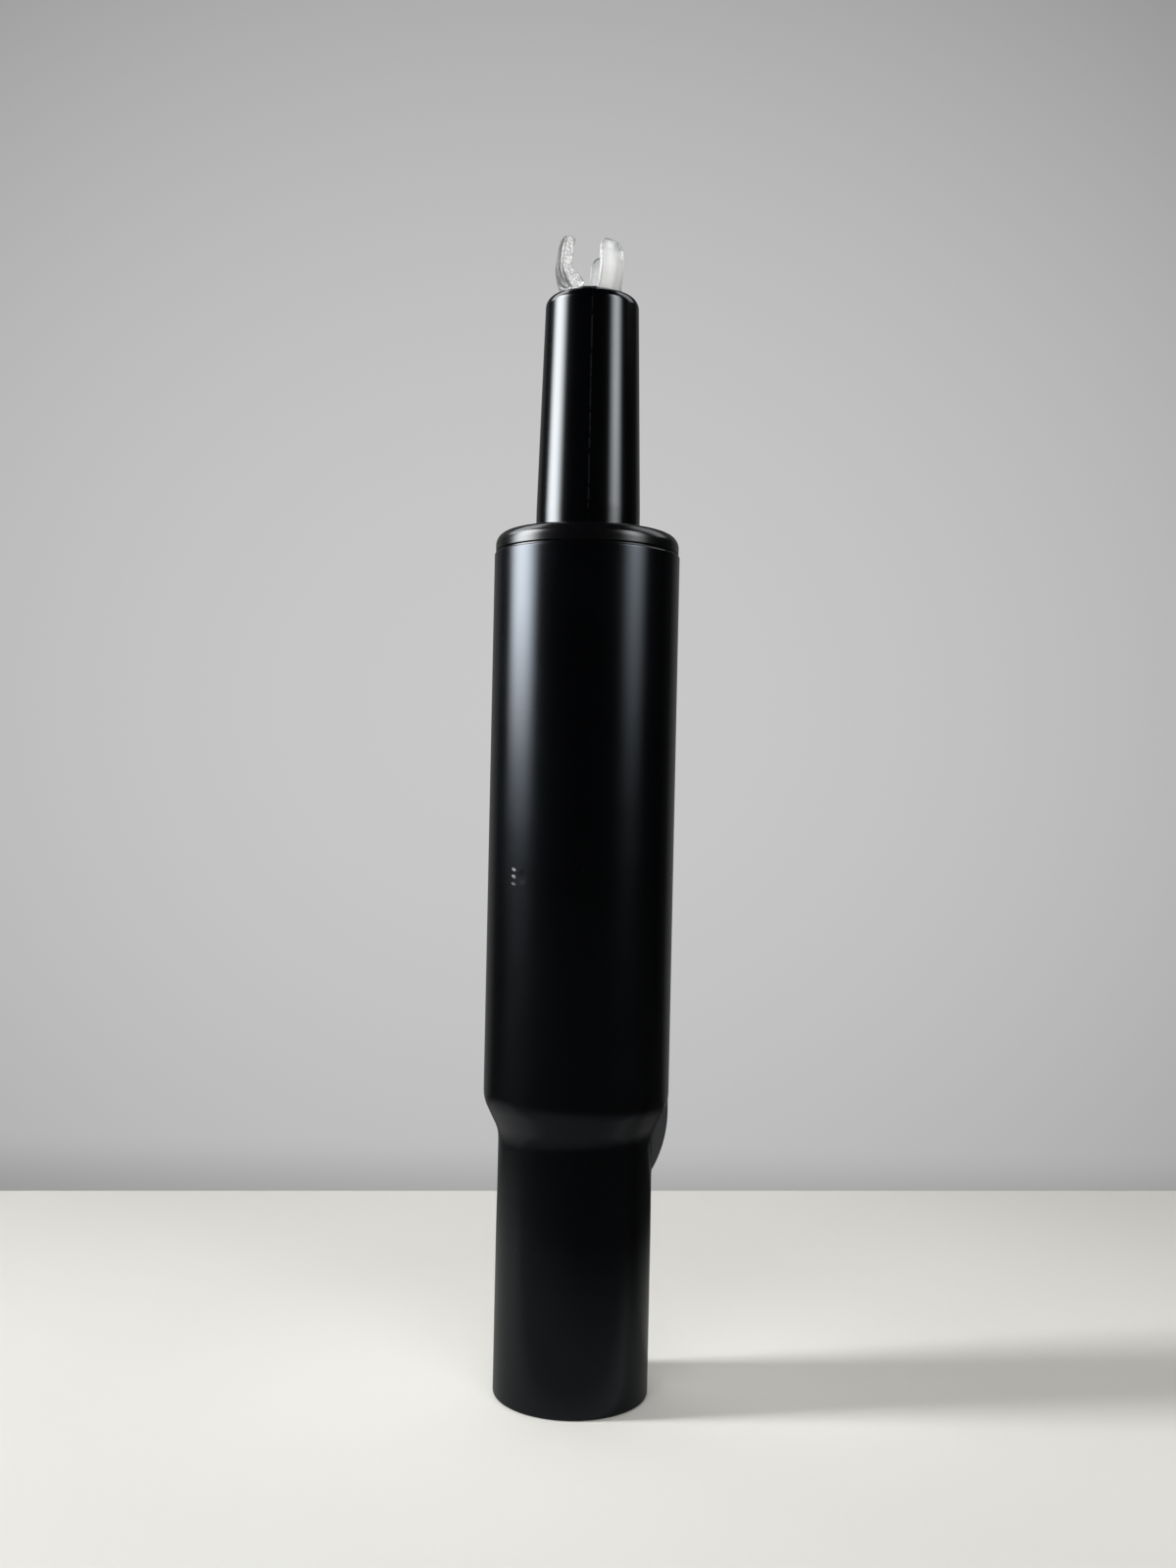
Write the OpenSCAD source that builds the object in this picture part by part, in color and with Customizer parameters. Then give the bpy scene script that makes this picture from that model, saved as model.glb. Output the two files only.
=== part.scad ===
// Chair gas lift cylinder: a stepped steel column that plugs into the chair base, and inside it a
// gas spring that stands on a ball thrust bearing, slides up through a moulded guide sleeve and
// carries the seat on its tapered top. The release button in the top opens the gas valve.
// The part stands on z = 0 with its axis on Z. It is drawn fully lowered, with -Y as its front.

/* [Column tube] */
// Outside diameter of the column
column_d = 50; // [46:0.5:56]
// Wall thickness of the column
column_wall = 2; // [1.5:0.1:2.5]
// Height of the column's rim above the floor
column_h = 227; // [222:1:250]
// Diameter of the seat that goes into the chair base
seat_d = 41.2; // [39:0.2:43]
// Height of the upper end of that seat
seat_h = 56; // [30:1:58]
// Radial depth of the relief between the seat and the shoulder
relief = 0.3; // [0.1:0.1:0.6]
// Height of the ramp into the relief
relief_ramp = 8; // [4:0.5:10]
// Height at which the shoulder starts
shoulder_z = 69.5; // [62:0.5:76]
// Steepest angle of the shoulder from the vertical
shoulder_angle = 31; // [25:1:38]
// Outside bend radius at both ends of the shoulder
shoulder_r = 8; // [5:0.5:9]
// Outside rounding of the rolled foot
foot_r = 1.2; // [0.8:0.1:2]
// How far the rolled foot reaches in under the base cup
foot_lip = 2.6; // [1.5:0.1:4]

/* [Shoulder key] */
// Width of the key
key_w = 6; // [4:0.5:10]
// How far the key is turned from the right-hand side towards the back
key_angle = 8; // [0:1:30]
// Radius of the key's curved edge
key_edge_r = 32; // [24:1:40]
// How far below the top of the shoulder that edge leaves the line of the column
key_drop = 5.8; // [3:0.1:8]
// How far the key's top stays below the top of the shoulder
key_top_gap = 2; // [1.5:0.1:2.8]

/* [Stakes] */
// Number of stakes that hold the guide sleeve
stake_count = 3; // [2:1:6]
// Angle of the first stake from the front, towards the left
stake_angle = 37; // [0:1:90]
// Height of the stakes' middle above the lower end of the guide sleeve
stake_rise = 5; // [4:0.5:7]
// Radius of the punch's ball nose
stake_r = 12; // [8:0.5:14]
// Depth of a stake
stake_depth = 0.3; // [0.2:0.05:0.4]

/* [Guide sleeve] */
// How far the collar stays inside the line of the column
collar_inset = 0.3; // [0:0.1:0.5]
// Height of the collar
collar_h = 4.8; // [4.4:0.1:8]
// Rounding of the collar's top edge
collar_r = 4; // [1:0.1:4.2]
// Height of the shadow gap between collar and column
seam_h = 0.5; // [0.3:0.1:0.8]
// Depth of that gap, from the line of the column
seam_depth = 0.8; // [0.6:0.1:1.4]
// Length of the sleeve inside the column
sleeve_h = 92; // [70:1:110]
// Wall thickness of the sleeve's barrel
sleeve_wall = 2.2; // [1.6:0.1:4]
// Height of the lands at both ends of the sleeve
land_h = 14; // [10:1:24]
// Height of the ring half way down
mid_ring_h = 4; // [2:0.5:10]
// Number of ribs along the sleeve
rib_count = 8; // [4:1:12]
// Thickness of a rib
rib_w = 2.4; // [1.5:0.1:4]
// Lead-in chamfer at the ends of the sleeve's bore
bore_lead = 1; // [0.5:0.1:1.5]

/* [Base cup and thrust bearing] */
// Sheet thickness of the base cup
cup_t = 2.5; // [2:0.1:3]
// Rise of the cup's floor above its flange
cup_rise = 8; // [7:0.5:11]
// Diameter of the pocket under the cup
pocket_d = 24; // [23:0.5:25]
// Inside bend radius of the cup
cup_bend_r = 1.5; // [0.8:0.1:1.8]
// Outside diameter of the bearing races
race_d = 21; // [20:0.1:22]
// Thickness of a race
race_t = 2; // [1.5:0.1:3]
// Depth of the ball groove in a race
groove_depth = 0.7; // [0.4:0.1:0.8]
// Diameter of the balls
ball_d = 4; // [3.5:0.1:4.2]
// Number of balls
ball_count = 10; // [6:1:10]
// Diameter of the circle through the balls' centres
ball_circle_d = 16; // [15.6:0.1:16.6]
// Radial width of the ball cage
cage_w = 5; // [4.8:0.1:5.6]
// Gap between the cage and each race
cage_gap = 0.35; // [0.2:0.05:0.6]

/* [Piston rod] */
// Diameter of the rod
rod_d = 10; // [9:0.5:10.5]
// Diameter of the rod's foot, below the shoulder that stands on the bearing
rod_foot_d = 8; // [7:0.5:8.5]
// Length of the rod below the clip
rod_tail = 2.3; // [1.5:0.1:3]
// Radius of the centre hole in the rod's lower end
rod_centre_r = 1.4; // [0.8:0.1:1.5]
// Thickness of the retaining clip
clip_t = 1.2; // [0.8:0.1:1.5]
// Outside diameter of the retaining clip
clip_d = 16; // [14:0.5:18]
// Width of the clip's mouth
clip_mouth_w = 5.4; // [4:0.1:6]
// Diameter of the holes in the clip's ears
clip_hole_d = 2; // [1.2:0.1:2.4]
// How far those holes are turned from the clip's mouth
clip_hole_angle = 55; // [50:1:75]
// Depth of the clip's groove in the rod
clip_groove = 0.8; // [0.4:0.1:1]
// Diameter of the washer under the base cup
rod_washer_d = 19; // [17:0.5:20]
// Thickness of that washer
rod_washer_t = 1.5; // [1:0.1:2]
// Diameter of the washer under the bump stop
buffer_washer_d = 26; // [24:0.5:30]
// Thickness of that washer
buffer_washer_t = 1.5; // [1:0.1:3]
// Diameter of the rubber bump stop
bump_d = 24; // [20:0.5:26]
// Height of the bump stop
bump_h = 14; // [10:0.5:18]
// Rounding of the bump stop's outer edges
bump_round = 2; // [1:0.1:3]
// Depth of the groove round the bump stop
bump_waist = 1.6; // [0.8:0.1:2.4]
// Height of the piston
piston_h = 12; // [9:0.5:14]
// Diameter of the rod's end inside the piston
rod_end_d = 6; // [5:0.5:7]
// Height of the piston's sealing ring
piston_ring_h = 3; // [2:0.1:4]
// Radial thickness of the sealing ring
piston_ring_t = 2; // [1.5:0.1:2.5]
// Diameter of the washer on the piston
piston_washer_d = 13; // [12:0.5:16]
// Thickness of that washer
piston_washer_t = 1.2; // [0.8:0.1:2]
// Width across the flats of the piston nut
nut_af = 10; // [9:0.5:12]
// Height of the piston nut
nut_h = 5; // [4:0.5:6]
// Length of the rod's end above the nut
thread_tail = 0.7; // [0.6:0.1:1.5]

/* [Pressure tube] */
// Outside diameter of the pressure tube
tube_d = 28; // [27.4:0.1:30]
// Wall thickness of the pressure tube
tube_wall = 1.6; // [1.3:0.1:2]
// How far the lowered tube stands above the collar
tube_reach = 64; // [61:1:80]
// Length of the taper that takes the seat mechanism
taper_h = 58; // [50:1:60]
// Half angle of that taper
taper_angle = 1.438; // [1:0.001:1.6]
// Rounding of the tube's top edge
tube_top_r = 3.7; // [2:0.1:3.7]
// Diameter of the mouth in the tube's top
mouth_d = 17.4; // [17:0.1:18.2]
// How far the tube's lower end is crimped in
crimp_w = 3; // [2:0.1:5]
// Outside diameter of the inner cylinder
inner_d = 22; // [21.6:0.1:23]
// Wall thickness of the inner cylinder
inner_wall = 1; // [0.8:0.1:1.2]
// Thickness of the ring behind the crimp
end_ring_t = 2.5; // [1.5:0.1:4]
// Length of the bush that guides the rod
rod_guide_h = 21.5; // [15:0.5:30]
// Thickness of the washer under the rod seal
seal_washer_t = 1.5; // [1:0.1:3]
// Height of the rod seal
seal_h = 9; // [7:0.5:10]
// Width of the gas groove in the rod seal
seal_groove_w = 3; // [2:0.1:4]
// Height of the bush that stops the piston
stop_h = 12; // [9:0.5:14]
// Height of that bush's flange
stop_flange_h = 4; // [3:0.5:6]
// Width of the gas slots in that bush
slot_w = 2.5; // [1.5:0.1:4]
// How deep the gas slots cut into its flange
slot_drop = 1.5; // [0.8:0.1:2]
// Number of gas slots
slot_count = 4; // [2:1:6]

/* [Valve and release] */
// Length of the valve seat inside the inner cylinder
valve_spigot_h = 8; // [7:0.5:10]
// Height of the ported neck above the inner cylinder
valve_neck_h = 4; // [3.5:0.5:6]
// Height of the sealed flange above the neck
valve_flange_h = 6; // [5:0.5:8]
// Diameter of a gas port
port_d = 2.4; // [1.5:0.1:3]
// Number of gas ports
port_count = 4; // [2:1:6]
// Diameter of the gas chamber round the pin
chamber_d = 10.4; // [9.6:0.1:11.4]
// Cross-section of the O-rings
oring_t = 2.4; // [2:0.1:2.6]
// Wall above and below the tip seal
seal_web = 1; // [0.8:0.1:1.5]
// How far the closed pin reaches above the middle of the tip seal
pin_lap = 1.2; // [0.8:0.1:1.4]
// Diameter of the release pin
pin_d = 8; // [7:0.1:8.4]
// Diameter of the pin's neck
pin_neck_d = 4.4; // [3.5:0.1:5]
// Diameter of the pin's sealing tip
pin_tip_d = 6; // [5.4:0.1:6.6]
// Diameter of the peg that carries the button
button_peg_d = 4.8; // [3:0.1:6]
// How far the release button travels
release_travel = 2.2; // [1.5:0.1:2.6]
// How far the button stands above the tube
button_proud = 1.5; // [1:0.1:2]
// Diameter of the button
button_d = 9.8; // [9:0.1:10]
// Thickness of the button
button_t = 2.5; // [2:0.1:3]

/* [Button guard] */
// Radial thickness of the guard's base ring
guard_wall = 2.9; // [2.4:0.1:3]
// Height of the guard's base ring
guard_ring_h = 2.4; // [2:0.1:3.4]
// How far the fingers swell outwards
guard_swell = 1.25; // [0.6:0.05:1.6]
// Wall thickness at the tip of the tallest finger
guard_tip_t = 2.6; // [1.4:0.1:2.8]
// Radius of the round corners of a finger's tip
finger_tip_r = 2.9; // [1:0.1:2.9]
// Height over which the flare of a finger's foot runs out
finger_flare_h = 9; // [6:0.5:10]
// Way that the left finger faces, from the right towards the back
left_finger_angle = 190; // [180:1:200]
// Height of the left finger above the guard's seat
left_finger_h = 17.6; // [14:0.1:20]
// Width of the left finger
left_finger_w = 7; // [6:0.1:8]
// How far the foot of the left finger flares on each side
left_finger_flare = 3; // [0:0.1:3.2]
// Way that the right finger faces
right_finger_angle = 310; // [300:1:320]
// Height of the right finger above the guard's seat
right_finger_h = 15; // [14:0.1:20]
// Width of the right finger
right_finger_w = 8; // [6:0.1:8.4]
// How far the foot of the right finger flares on each side
right_finger_flare = 0.3; // [0:0.1:1]
// Way that the back finger faces
back_finger_angle = 77; // [60:1:90]
// Height of the back finger above the guard's seat
back_finger_h = 13.9; // [13.5:0.1:20]
// Width of the back finger
back_finger_w = 6; // [5.8:0.1:8]
// How far the foot of the back finger flares on each side
back_finger_flare = 0.5; // [0:0.1:2]

/* [Clearances] */
// Radial gap of what slides along or turns on another piece
slide_gap = 0.08; // [0.05:0.01:0.1]
// Radial gap of what is pressed into another piece
fit_gap = 0.05; // [0.03:0.01:0.1]
// Gap between faces that turn past each other
turn_gap = 0.2; // [0.1:0.05:0.3]
// Gap at the end stops of a stroke
stop_gap = 0.3; // [0.2:0.1:0.6]
// Gap round the balls
ball_gap = 0.05; // [0.03:0.01:0.1]
// Radial gap round what passes loosely over the rod
loose_gap = 0.4; // [0.2:0.05:0.6]
// Size of the small edge breaks
edge = 0.5; // [0.2:0.1:0.6]

/* [Hidden] */
$fn = 96;
arc_steps = 8;
// How far a cutting shape reaches past the face that it cuts
cut = 0.1;

// Colours
black_paint = [0.045, 0.045, 0.05];
black_gloss = [0.03, 0.03, 0.035];
black_moulding = [0.07, 0.07, 0.075];
rubber_black = [0.1, 0.1, 0.1];
zinc = [0.72, 0.72, 0.7];
bright_steel = [0.8, 0.81, 0.83];
alloy = [0.76, 0.77, 0.79];
brass_yellow = [0.78, 0.62, 0.3];
moulded_white = [0.88, 0.87, 0.83];
clear_plastic = [0.9, 0.93, 0.94, 0.4];

// Column
column_r = column_d / 2;
column_bore_r = column_r - column_wall;
seat_r = seat_d / 2;
neck_r = seat_r - relief;
spigot_bore_r = neck_r - column_wall;
relief_top = min(seat_h + relief_ramp, shoulder_z - edge);
shoulder_cone_w = column_r - neck_r - 2 * shoulder_r * (1 - cos(shoulder_angle));
shoulder_cone_h = shoulder_cone_w / tan(shoulder_angle);
shoulder_top = shoulder_z + 2 * shoulder_r * sin(shoulder_angle) + shoulder_cone_h;
foot_bore_r = spigot_bore_r - foot_lip;

// Guide sleeve
tube_r = tube_d / 2;
sleeve_r = column_bore_r - fit_gap;
sleeve_bore_r = tube_r + slide_gap;
barrel_r = sleeve_bore_r + sleeve_wall;
sleeve_z = column_h - sleeve_h;
collar_top = column_h + collar_h;
stake_z = sleeve_z + stake_rise;

// Rod
rod_r = rod_d / 2;
rod_foot_r = rod_foot_d / 2;
rod_end_r = rod_end_d / 2;

// Base cup
pocket_r = pocket_d / 2;
cup_z = column_wall;
cup_floor_z = cup_z + cup_rise;
cup_top = cup_floor_z + cup_t;
cup_hole_r = rod_foot_r + loose_gap;

// Thrust bearing
ball_r = ball_d / 2;
ball_circle_r = ball_circle_d / 2;
track_r = ball_r + ball_gap;
race_top = cup_top + race_t;
ball_z = race_top - groove_depth + track_r;
upper_race_z = ball_z + track_r - groove_depth;
cage_t = upper_race_z - race_top - 2 * cage_gap;
buffer_washer_z = upper_race_z + race_t;
bump_z = buffer_washer_z + buffer_washer_t;

// Rod below the cup
rod_washer_z = cup_floor_z - turn_gap - rod_washer_t;
clip_z = rod_washer_z - clip_t;
clip_groove_r = rod_foot_r - clip_groove;
rod_z = clip_z - rod_tail;

// Pressure tube
tube_bore_r = tube_r - tube_wall;
mouth_r = mouth_d / 2;
tube_z = bump_z + bump_h + stop_gap;
tube_top = collar_top + tube_reach;
tube_cap_z = tube_top - tube_wall;
taper_z = tube_top - taper_h;
pack_r = tube_bore_r - fit_gap;

// Valve, from the taper down
inner_r = inner_d / 2;
inner_bore_r = inner_r - inner_wall;
pin_r = pin_d / 2;
pin_neck_r = pin_neck_d / 2;
pin_tip_r = pin_tip_d / 2;
oring_slot = oring_t + 2 * fit_gap;
valve_top = taper_z - stop_gap;
flange_z = valve_top - valve_flange_h;
flange_seal_z = flange_z + valve_flange_h / 2;
inner_top = flange_z - valve_neck_h;
valve_z = inner_top - valve_spigot_h;
tip_seat_h = oring_slot + 2 * seal_web;
tip_seal_z = valve_z + tip_seat_h / 2;
pin_seal_z = valve_top + oring_slot / 2;

// Piston, from the valve down
rod_top = valve_z - release_travel;
nut_z = rod_top - thread_tail - nut_h;
piston_washer_z = nut_z - piston_washer_t;
piston_z = piston_washer_z - piston_h;
piston_ring_z = piston_z + (piston_h - piston_ring_h) / 2;
piston_r = inner_bore_r - stop_gap;
piston_ring_r = inner_bore_r - slide_gap;

// Seal pack, from the crimp up; the seat rises until the stop bush on top of it is stop_gap from the piston
pack_hole_r = rod_r + loose_gap;
end_ring_z = tube_z + tube_wall;
rod_guide_z = end_ring_z + end_ring_t;
seal_washer_z = rod_guide_z + rod_guide_h;
seal_z = seal_washer_z + seal_washer_t;
stop_z = seal_z + seal_h;
inner_z = stop_z + stop_flange_h;

// Release
button_r = button_d / 2;
button_peg_r = button_peg_d / 2;
button_top = tube_top + button_proud;
button_z = button_top - button_t;
button_well_z = button_z - release_travel - stop_gap;

// Guard
guard_r = mouth_r - slide_gap;
guard_swell_z = tube_wall + edge;
tallest_finger = max(left_finger_h, right_finger_h, back_finger_h);
// Each finger: the way it faces, its height, its width and the flare of its foot
FINGERS = [
    [left_finger_angle, left_finger_h, left_finger_w, left_finger_flare],
    [right_finger_angle, right_finger_h, right_finger_w, right_finger_flare],
    [back_finger_angle, back_finger_h, back_finger_w, back_finger_flare]
];

// Points along an arc about c, from angle a0 to a1
function arc(c, r, a0, a1, n = arc_steps) =
    [for (i = [0:n]) c + r * [cos(a0 + (a1 - a0) * i / n), sin(a0 + (a1 - a0) * i / n)]];

function reversed(points) = [for (i = [len(points) - 1:-1:0]) points[i]];

// Radius at height z of a surface of the pressure tube that has radius r below the taper
function taper_r(r, z) = r - max(0, z - taper_z) * tan(taper_angle);

// The shoulder's S-shaped line, upwards; inset is how far it lies inside the outer surface
function shoulder_line(inset) = concat(
    arc([neck_r + shoulder_r, shoulder_z], shoulder_r + inset, 180, 180 - shoulder_angle),
    arc([column_r - shoulder_r, shoulder_top], shoulder_r - inset, -shoulder_angle, 0));

module revolve(points) {
    rotate_extrude() polygon(points);
}

// A flat ring whose lower face is at height z
module flat_ring(r_out, r_in, z, h) {
    translate([0, 0, z]) difference() {
        cylinder(r = r_out, h = h);
        translate([0, 0, -cut]) cylinder(r = r_in, h = h + 2 * cut);
    }
}

// An O-ring whose middle is at height z
module o_ring(r_in, z) {
    rotate_extrude() translate([r_in + oring_t / 2, z]) circle(d = oring_t);
}

module around(count, first = 0) {
    for (i = [0:count - 1]) rotate(first + i * 360 / count) children();
}

// Everything inside the column's outer surface
module column_envelope() {
    revolve(concat(
        [[0, 0]],
        arc([seat_r - foot_r, foot_r], foot_r, -90, 0),
        [[seat_r, seat_h], [neck_r, relief_top]],
        shoulder_line(0),
        [[column_r, column_h - edge], [column_r - edge, column_h], [0, column_h]]));
}

// The hollow of the column, open at the foot and at the rim
module column_bore() {
    revolve(concat(
        [[0, -cut], [foot_bore_r, -cut], [foot_bore_r, column_wall], [spigot_bore_r, column_wall]],
        shoulder_line(column_wall),
        [[column_bore_r, column_h + cut], [0, column_h + cut]]));
}

// Balls about the punch's nose: the outside of the stakes, or with a wall their inside
module stake_balls(wall) {
    around(stake_count, 270 - stake_angle)
        translate([column_r + stake_r - stake_depth, 0, stake_z]) sphere(r = stake_r + wall);
}

// Column: stepped tube with a rolled foot, staked to the guide sleeve
module column_tube() {
    color(black_paint) difference() {
        union() {
            difference() {
                column_envelope();
                column_bore();
            }
            intersection() {
                stake_balls(column_wall);
                flat_ring(column_r - edge, sleeve_bore_r, sleeve_z, sleeve_h - land_h);
            }
        }
        stake_balls(0);
    }
}

// Key in the angle of the shoulder, flush with the column
module shoulder_key() {
    key_z = shoulder_top - key_drop;
    key_top = shoulder_top - key_top_gap;
    key_foot_angle = acos(1 - (column_r - neck_r + edge) / key_edge_r);
    color(black_paint) difference() {
        intersection() {
            revolve(concat(
                [[spigot_bore_r, key_top]],
                arc([column_r - key_edge_r, key_z], key_edge_r, -key_foot_angle, 0),
                [[column_r, key_top]]));
            rotate(key_angle) translate([0, -key_w / 2, 0]) cube([column_d, key_w, column_h]);
        }
        column_envelope();
    }
}

// Guide sleeve: two lands and a ring on a thin barrel, ribbed between, with the collar on top
module guide_sleeve() {
    collar_rim_r = column_r - collar_inset;
    rounding = min(collar_r, collar_h - seam_h - fit_gap);
    seam_r = column_r - seam_depth;
    mid_z = sleeve_z + (sleeve_h - mid_ring_h) / 2;
    color(black_moulding) difference() {
        union() {
            revolve(concat(
                [[sleeve_bore_r + bore_lead, sleeve_z], [sleeve_r - edge, sleeve_z],
                 [sleeve_r, sleeve_z + edge], [sleeve_r, sleeve_z + land_h],
                 [barrel_r, sleeve_z + land_h], [barrel_r, mid_z], [sleeve_r, mid_z],
                 [sleeve_r, mid_z + mid_ring_h], [barrel_r, mid_z + mid_ring_h],
                 [barrel_r, column_h - land_h], [sleeve_r, column_h - land_h],
                 [sleeve_r, column_h], [seam_r, column_h], [seam_r, column_h + seam_h],
                 [collar_rim_r, column_h + seam_h]],
                arc([collar_rim_r - rounding, collar_top - rounding], rounding, 0, 90),
                [[sleeve_bore_r + bore_lead, collar_top], [sleeve_bore_r, collar_top - bore_lead],
                 [sleeve_bore_r, sleeve_z + bore_lead]]));
            intersection() {
                around(rib_count)
                    translate([0, -rib_w / 2, sleeve_z + edge]) cube([column_d, rib_w, sleeve_h - land_h]);
                flat_ring(sleeve_r, barrel_r - edge, sleeve_z, sleeve_h);
            }
        }
        stake_balls(column_wall + fit_gap);
    }
}

// Base cup: a pressed hat on the rolled foot that carries the bearing
module base_cup() {
    flange_r = spigot_bore_r - fit_gap;
    upper_bend = [pocket_r - cup_bend_r, cup_floor_z - cup_bend_r];
    lower_bend = [pocket_r + cup_t + cup_bend_r, cup_z + cup_t + cup_bend_r];
    color(zinc) revolve(concat(
        [[cup_hole_r, cup_floor_z]],
        arc(upper_bend, cup_bend_r, 90, 0),
        arc(lower_bend, cup_bend_r + cup_t, 180, 270),
        [[flange_r, cup_z], [flange_r, cup_z + cup_t]],
        arc(lower_bend, cup_bend_r, 270, 180),
        arc(upper_bend, cup_bend_r + cup_t, 0, 90),
        [[cup_hole_r, cup_top]]));
}

// Bearing race with the groove that the balls run in
module race(z, r_in) {
    color(bright_steel) difference() {
        flat_ring(race_d / 2, r_in, z, race_t);
        rotate_extrude() translate([ball_circle_r, ball_z]) circle(r = track_r);
    }
}

module lower_race() {
    race(cup_top, cup_hole_r);
}

module upper_race() {
    race(upper_race_z, rod_foot_r + fit_gap);
}

module ball_cage() {
    color(brass_yellow) difference() {
        flat_ring(ball_circle_r + cage_w / 2, ball_circle_r - cage_w / 2, race_top + cage_gap, cage_t);
        around(ball_count) translate([ball_circle_r, 0, race_top])
            cylinder(r = ball_r + slide_gap, h = upper_race_z - race_top);
    }
}

module bearing_balls() {
    color(bright_steel) around(ball_count) translate([ball_circle_r, 0, ball_z]) sphere(r = ball_r);
}

module buffer_washer() {
    color(zinc) flat_ring(buffer_washer_d / 2, rod_foot_r + fit_gap, buffer_washer_z, buffer_washer_t);
}

// Rubber bump stop, grooved so that it can bulge
module bump_stop() {
    bump_r = bump_d / 2;
    bump_bore_r = rod_r + fit_gap;
    bump_top = bump_z + bump_h;
    color(rubber_black) difference() {
        revolve(concat(
            [[bump_bore_r, bump_z]],
            arc([bump_r - bump_round, bump_z + bump_round], bump_round, -90, 0),
            arc([bump_r - bump_round, bump_top - bump_round], bump_round, 0, 90),
            [[bump_bore_r, bump_top]]));
        rotate_extrude() translate([bump_r + edge, bump_z + bump_h / 2]) circle(r = bump_waist + edge);
    }
}

module rod_washer() {
    color(zinc) flat_ring(rod_washer_d / 2, rod_foot_r + fit_gap, rod_washer_z, rod_washer_t);
}

// Retaining clip: an open ring with two holed ears, pushed into the rod's groove from the front
module rod_clip() {
    clip_r = clip_d / 2;
    clip_bore_r = clip_groove_r + fit_gap;
    color(zinc) translate([0, 0, clip_z]) linear_extrude(clip_t) difference() {
        circle(r = clip_r);
        circle(r = clip_bore_r);
        translate([-clip_mouth_w / 2, -clip_r - cut]) square([clip_mouth_w, clip_r + cut]);
        for (side = [-1, 1]) rotate(side * clip_hole_angle)
            translate([0, -(clip_r + clip_bore_r) / 2]) circle(d = clip_hole_d);
    }
}

// Piston rod: shouldered on the bearing, grooved for the clip and stepped for the piston
module piston_rod() {
    color(bright_steel) difference() {
        revolve([
            [0, rod_z], [rod_foot_r - edge, rod_z], [rod_foot_r, rod_z + edge],
            [rod_foot_r, clip_z], [clip_groove_r, clip_z],
            [clip_groove_r, clip_z + clip_t], [rod_foot_r, clip_z + clip_t],
            [rod_foot_r, bump_z], [rod_r, bump_z], [rod_r, piston_z], [rod_end_r, piston_z],
            [rod_end_r, rod_top - edge], [rod_end_r - edge, rod_top], [0, rod_top]]);
        translate([0, 0, rod_z - cut]) cylinder(r1 = rod_centre_r + cut, r2 = 0, h = rod_centre_r + cut);
    }
}

module piston() {
    ring_seat_r = piston_ring_r - piston_ring_t;
    piston_top = piston_z + piston_h;
    bore_r = rod_end_r + fit_gap;
    color(alloy) revolve([
        [bore_r, piston_z], [piston_r - edge, piston_z], [piston_r, piston_z + edge],
        [piston_r, piston_ring_z], [ring_seat_r, piston_ring_z],
        [ring_seat_r, piston_ring_z + piston_ring_h], [piston_r, piston_ring_z + piston_ring_h],
        [piston_r, piston_top - edge], [piston_r - edge, piston_top], [bore_r, piston_top]]);
}

module piston_ring() {
    ring_bore_r = piston_ring_r - piston_ring_t + fit_gap;
    color(rubber_black)
        flat_ring(piston_ring_r, ring_bore_r, piston_ring_z + fit_gap, piston_ring_h - 2 * fit_gap);
}

module piston_washer() {
    color(zinc) flat_ring(piston_washer_d / 2, rod_end_r + fit_gap, piston_washer_z, piston_washer_t);
}

module piston_nut() {
    color(zinc) translate([0, 0, nut_z]) difference() {
        cylinder(r = nut_af / 2 / cos(30), h = nut_h, $fn = 6);
        translate([0, 0, -cut]) cylinder(r = rod_end_r + fit_gap, h = nut_h + 2 * cut);
    }
}

// Pressure tube: straight, then tapered for the seat mechanism, rolled in at both ends
module pressure_tube() {
    lip_r = tube_bore_r - crimp_w;
    rounding = min(tube_top_r, taper_r(tube_r, tube_top) - mouth_r - fit_gap);
    crown_z = tube_top - rounding;
    crown_r = taper_r(tube_r, crown_z) - rounding;
    color(black_gloss) revolve(concat(
        [[lip_r, tube_z]],
        arc([tube_r - tube_wall, tube_z + tube_wall], tube_wall, -90, 0),
        [[tube_r, taper_z]],
        arc([crown_r, crown_z], rounding, 0, 90),
        [[mouth_r, tube_top], [mouth_r, tube_cap_z], [taper_r(tube_bore_r, tube_cap_z), tube_cap_z],
         [tube_bore_r, taper_z], [tube_bore_r, end_ring_z], [lip_r, end_ring_z]]));
}

module end_ring() {
    color(zinc) flat_ring(pack_r, pack_hole_r, end_ring_z, end_ring_t);
}

// Long plain bush that keeps the rod straight
module rod_guide() {
    guide_bore_r = rod_r + slide_gap;
    color(moulded_white) revolve([
        [guide_bore_r, rod_guide_z + edge], [guide_bore_r + edge, rod_guide_z],
        [pack_r - edge, rod_guide_z], [pack_r, rod_guide_z + edge],
        [pack_r, seal_washer_z], [guide_bore_r, seal_washer_z]]);
}

module seal_washer() {
    color(zinc) flat_ring(pack_r, pack_hole_r, seal_washer_z, seal_washer_t);
}

// Rod seal: the groove in its top lets the gas press both lips outwards
module rod_seal() {
    lip_r = rod_r + slide_gap;
    groove_mid = (lip_r + pack_r) / 2;
    groove_foot_z = seal_z + seal_h / 2;
    color(rubber_black) revolve([
        [lip_r + edge, seal_z], [pack_r, seal_z], [pack_r, stop_z],
        [groove_mid + seal_groove_w / 2, stop_z], [groove_mid, groove_foot_z],
        [groove_mid - seal_groove_w / 2, stop_z], [lip_r, stop_z],
        [lip_r, groove_foot_z], [lip_r + edge, groove_foot_z - edge]]);
}

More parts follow.
